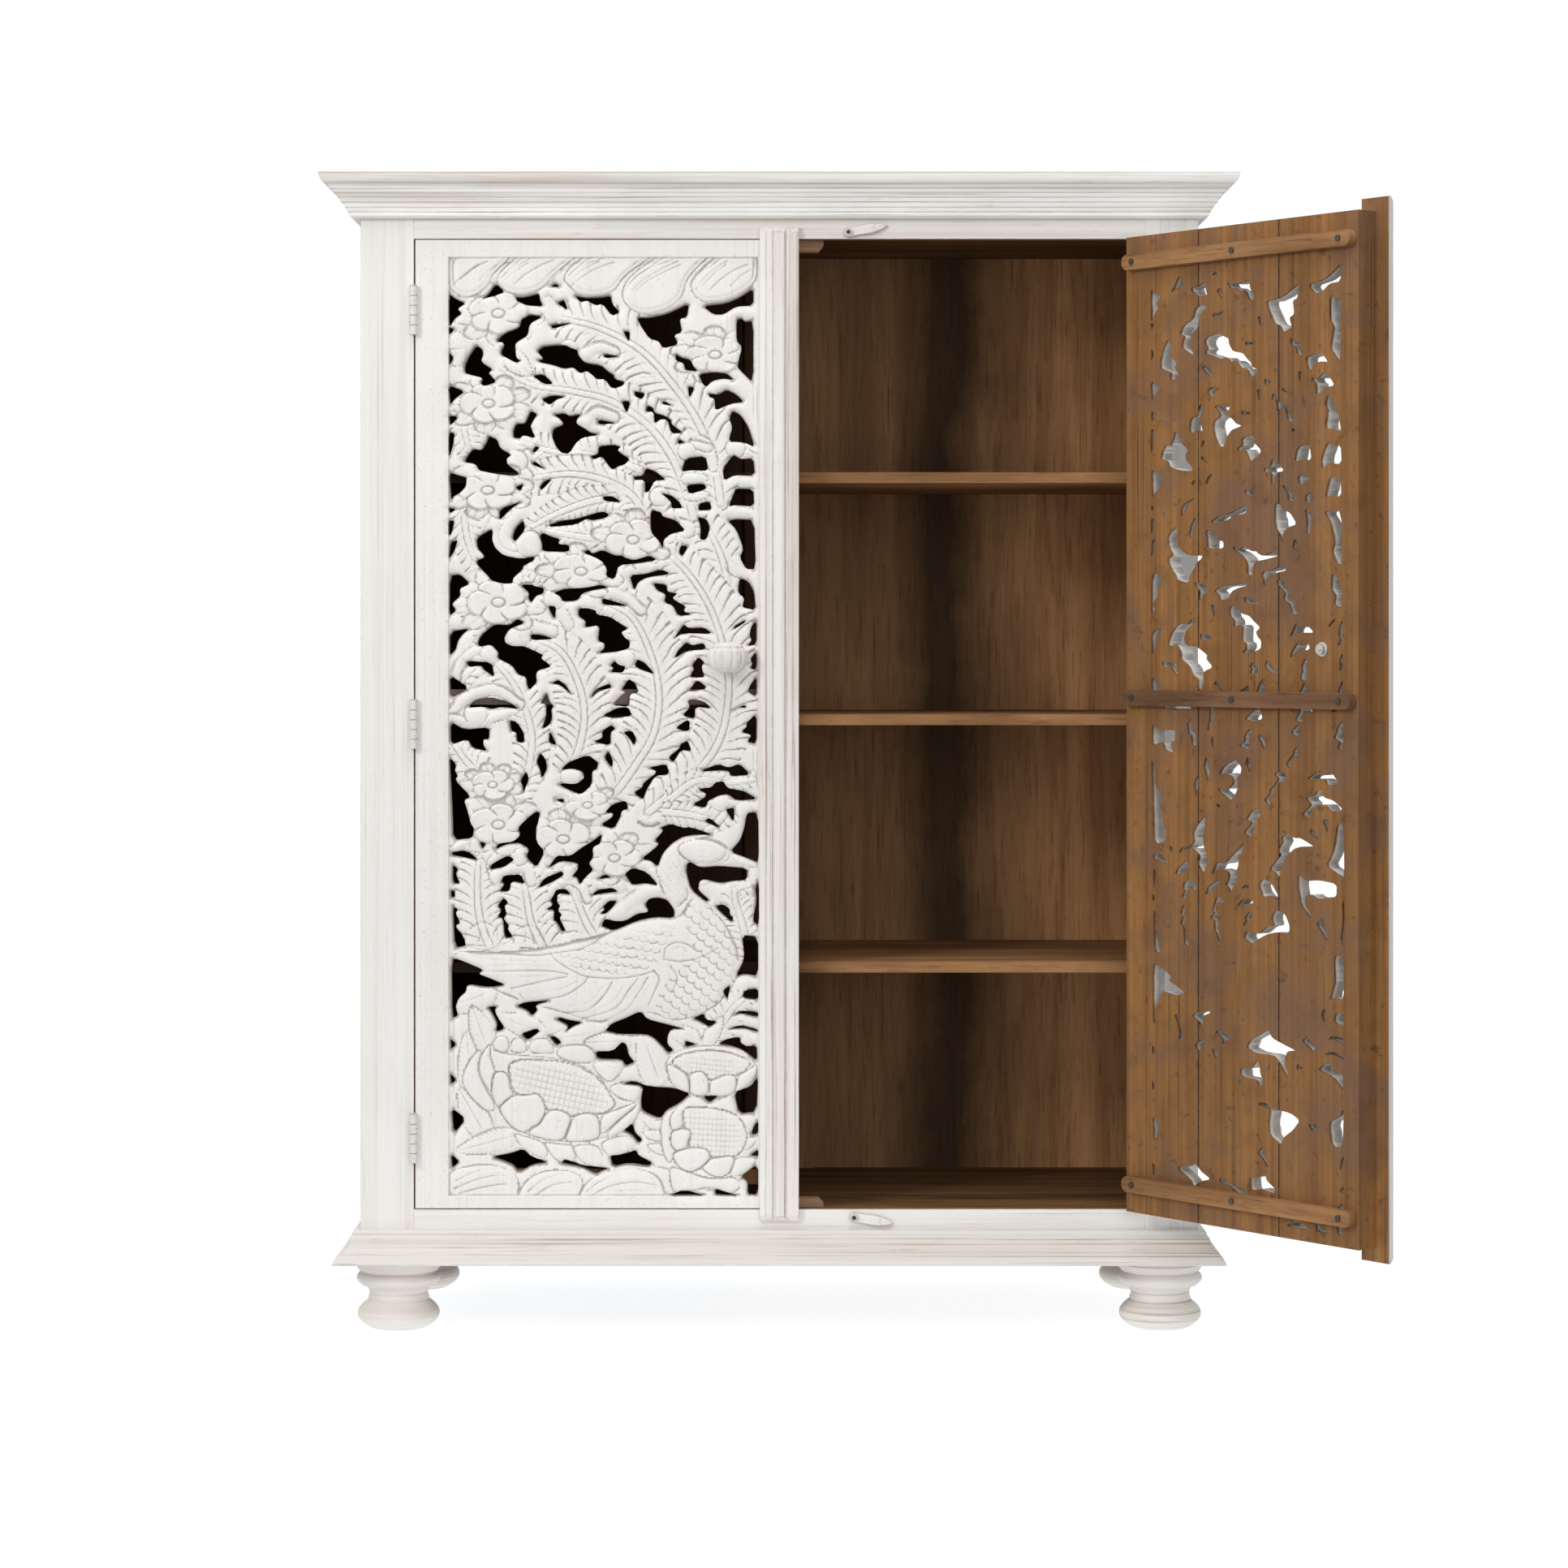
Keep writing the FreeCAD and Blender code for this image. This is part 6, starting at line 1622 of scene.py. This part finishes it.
def melon_knob(side):
    """A door's ribbed knob on its neck."""
    low, high = local_box(side, "knob")
    middle = (low + high) / 2
    reach, tall = (high[0] - low[0]) / 2, (high[2] - low[2]) / 2
    deep = (high[1] - low[1] - knob_neck) / 2
    turns, rows, neck_turns = 168, 40, 48
    points = []
    for row in range(rows + 1):
        lift = math.pi * row / rows - math.pi / 2
        ring = 1 - sum(drop * mark(lift - place, knob_groove_width) for place, drop in knob_grooves)
        for angle in circle(turns):
            crease = (1 - abs(math.cos(angle * knob_ribs / 2)))**2 * math.cos(lift)**0.5
            spread = math.cos(lift)**0.72 * ring * (1 - knob_rib_share * crease)
            points.append((middle[0] + reach * spread * math.cos(angle),
                           low[1] + deep * (1 + spread * math.sin(angle)),
                           middle[2] + tall * math.sin(lift) * (1 - knob_lift_share * (1 - ring))))
    neck_rings = ((high[1] - knob_neck - deep * 0.3, 0.9), (high[1] - knob_neck * 0.55, 0.78),
                  (high[1] - knob_collar, 0.86), (high[1], 1.0))
    faces = ring_faces(rows + 1, turns) + turned_over(ring_faces(len(neck_rings), neck_turns, len(points)))
    for y, share in neck_rings:
        neck = knob_neck_reach * share
        for angle in circle(neck_turns):
            points.append((middle[0] + neck * math.cos(angle), y, middle[2] + neck * math.sin(angle)))
    if side == "right":
        points, faces = mirrored(points, faces)
    made = new_mesh(f"{side}_knob_ribbed", points, faces, smooth_below=60)
    made.matrix_world = door_places[side]
    stand_in(made, f"{side}_door", finishes["knob"], f"{side}_knob")


for side in ("left", "right"):
    meeting_bar(side)
    melon_knob(side)

# Turn buttons: half widths and heights along their length as shares, and how far each is turned in degrees
button_width_shares = ((0, 0), (0.012, 0.36), (0.04, 0.66), (0.09, 0.9), (0.14, 0.98), (0.24, 0.93),
                       (0.34, 0.90), (0.5, 0.98), (0.62, 0.97), (0.76, 0.80), (0.88, 0.52),
                       (0.96, 0.24), (1, 0))
button_rise_shares = ((0, 0.35), (0.03, 0.72), (0.08, 0.86), (0.2, 0.80), (0.3, 0.78), (0.5, 0.95),
                      (0.62, 1.0), (0.74, 0.92), (0.88, 0.7), (1, 0.4))
button_rim_share, button_tip_share = 0.12, 0.02
button_half, button_reach, button_gap, button_thickness = 7.0, 52.0, 0.4, 6.5
notch_depth, notch_share, notch_bow, notch_width = 1.5, 0.70, 0.07, 0.016
ring_depth, ring_reach, ring_spread = 1.2, 4.9, 0.6
button_turns = {"top": -10, "bottom": 8.5}


def turn_button(level):
    """A leaf-shaped turn button about its screw, drawn pointing along +X and turned on its pivot."""
    pivot, _ = joint_at(f"turn_button_{level}_pivot")
    stations, columns = 64, 17
    points = []
    for along in 0.5 - 0.5 * np.cos(np.linspace(0, np.pi, stations)):
        x = -button_half + (button_half + button_reach) * along
        width = button_half * max(np.interp(along, *zip(*button_width_shares)), button_tip_share)
        rise = button_thickness * np.interp(along, *zip(*button_rise_shares))
        for across in np.linspace(-1, 1, columns):
            notch = notch_depth * mark(along - notch_share - notch_bow * abs(across), notch_width)
            from_screw = (x**2 + (width * across)**2)**0.5
            ring = ring_depth * math.exp(-(from_screw - ring_reach)**2 / ring_spread)
            edge = button_rim_share + (1 - button_rim_share) * (1 - across**8)**0.5
            height = rise * edge - notch - ring
            points.append((x, -button_gap - height, -width * across))
    faces = backed_faces(points, stations, columns, -button_gap)
    made = new_mesh(f"turn_button_leaf_{level}", points, faces, smooth_below=50)
    turn = math.radians(button_turns[level])
    made.matrix_world = Matrix.Translation(pivot) @ Matrix.Rotation(turn, 4, "Y")
    stand_in(made, f"turn_button_{level}", finishes["button"], f"turn_button_{level}")


for level in button_turns:
    turn_button(level)

# Materials and rounded edges of the CAD nodes that stay
kept_finishes = {
    "side": ("side_panel_left", "side_panel_right"),
    "top": ("top_board",),
    "rail": ("face_top_rail", "face_bottom_rail"),
    "stile": ("face_left_stile", "face_right_stile"),
    "inside_back": ("back_panel_left", "back_panel_right", "back_muntin"),
    "inside_across": ("floor_board", "ceiling_board", "base_board", "shelf_cleats"),
    "shelf": ("shelf_top", "shelf_middle", "shelf_bottom"),
    "batten_left": ("left_batten_top", "left_batten_bottom"),
    "batten_sprayed": ("left_batten_middle",),
    "batten_right": ("right_batten_top", "right_batten_bottom"),
    "batten_dark": ("right_batten_middle",),
    "raw": ("door_stop_top", "door_stop_bottom"),
    "hinge": ("hinge_frame_leaves", "left_hinge_leaves", "right_hinge_leaves", "hinge_pins"),
    "steel": ("foot_studs", "hinge_frame_screws", "left_knob_bolt", "right_knob_bolt",
              "left_hinge_screws", "right_hinge_screws"),
    "dark_screw": ("left_batten_screws", "right_batten_screws"),
    "painted_screw": ("turn_button_screws",),
}
wood_edge = 1.2
metal_edges = {"hinge": 0.7, "steel": 0.25, "dark_screw": 0.25, "painted_screw": 0.25}
for finish_name, names in kept_finishes.items():
    for node in names:
        nodes[node].data.materials.clear()
        nodes[node].data.materials.append(finishes[finish_name])
        rounded_edges(nodes[node], metal_edges.get(finish_name, wood_edge))

# Floor: pale and faintly lit, fading into the background away from the cabinet
floor_half = 9000
floor_corners = [(x * floor_half, y * floor_half, 0) for x, y in ((-1, -1), (1, -1), (1, 1), (-1, 1))]
floor = new_mesh("floor", floor_corners, [(0, 1, 2, 3)])
floor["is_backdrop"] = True
material, tree, shader, place = begin("floor")
pale = ramp(tree, noise(tree, place, 1.5), (0.3, (0.305, 0.305, 0.308)), (0.7, (0.31, 0.315, 0.325)))
tree.links.new(pale, shader.inputs["Base Color"])
shader.inputs["Roughness"].default_value = 0.9
shader.inputs["Emission Color"].default_value = (0.97, 0.985, 1, 1)
shader.inputs["Emission Strength"].default_value = 0.9
fade_shares = (0.55, 0.7, 0)
away = add_node(tree, "ShaderNodeVectorMath", {0: place, 1: fade_shares}, operation="MULTIPLY").outputs[0]
fading = rising(tree, distance(tree, away), 0.3, 0.8)
clear = add_node(tree, "ShaderNodeBsdfTransparent").outputs[0]
faded = add_node(tree, "ShaderNodeMixShader", {0: fading, 1: shader.outputs[0], 2: clear})
tree.links.new(faded.outputs[0], tree.nodes["Material Output"].inputs["Surface"])
floor.data.materials.append(material)

# Surroundings: white where they are seen, softer where they light the cabinet
world = bpy.data.worlds.new("studio")
world.use_nodes = True
bpy.context.scene.world = world
tree = world.node_tree
rays = add_node(tree, "ShaderNodeLightPath").outputs
seen = maths(tree, "MAXIMUM", rays["Is Camera Ray"],
             maths(tree, "MAXIMUM", rays["Is Glossy Ray"], rays["Is Transmission Ray"]))
soft = add_node(tree, "ShaderNodeBackground", {"Color": (0.93, 0.96, 1.0, 1), "Strength": 0.48}).outputs[0]
white = add_node(tree, "ShaderNodeBackground", {"Color": (1, 1, 1, 1), "Strength": 1.0}).outputs[0]
sky = add_node(tree, "ShaderNodeMixShader", {0: seen, 1: soft, 2: white})
tree.links.new(sky.outputs[0], tree.nodes["World Output"].inputs["Surface"])

# Lights: each one's place and the point it faces in metres, its size, power and colour
lights = {
    "key": ((-2.6, -2.9, 2.4), (0, 0, 0.8), 1.0, 58, (1, 0.975, 0.94)),
    "fill": ((1.2, -4.2, 1.5), (0, 0, 1.0), 2.4, 34, (1, 0.985, 0.965)),
    "top": ((0, -0.9, 3.6), (0, 0, 0), 2.6, 55, (1, 1, 1)),
}
for name, (place, aim, size, power, colour) in lights.items():
    data = bpy.data.lights.new(name, "AREA")
    data.size = size
    data.energy = power
    data.color = colour
    lamp = bpy.data.objects.new(name, data)
    lamp.location = place
    lamp.rotation_euler = (Vector(aim) - Vector(place)).to_track_quat("-Z", "Y").to_euler()
    bpy.context.collection.objects.link(lamp)

# Camera, placed and shifted so that the cabinet stands as it does in the photograph
camera_data = bpy.data.cameras.new("camera")
camera_data.lens = 91.2
camera_data.shift_x = 0.003
camera_data.shift_y = -0.0885
camera = bpy.data.objects.new("camera", camera_data)
camera.location = (0, -5.4075, 0.898)
camera.rotation_euler = (math.pi / 2, 0, 0)
bpy.context.collection.objects.link(camera)
bpy.context.scene.camera = camera
bpy.context.scene.view_settings.view_transform = "Standard"

low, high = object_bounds()
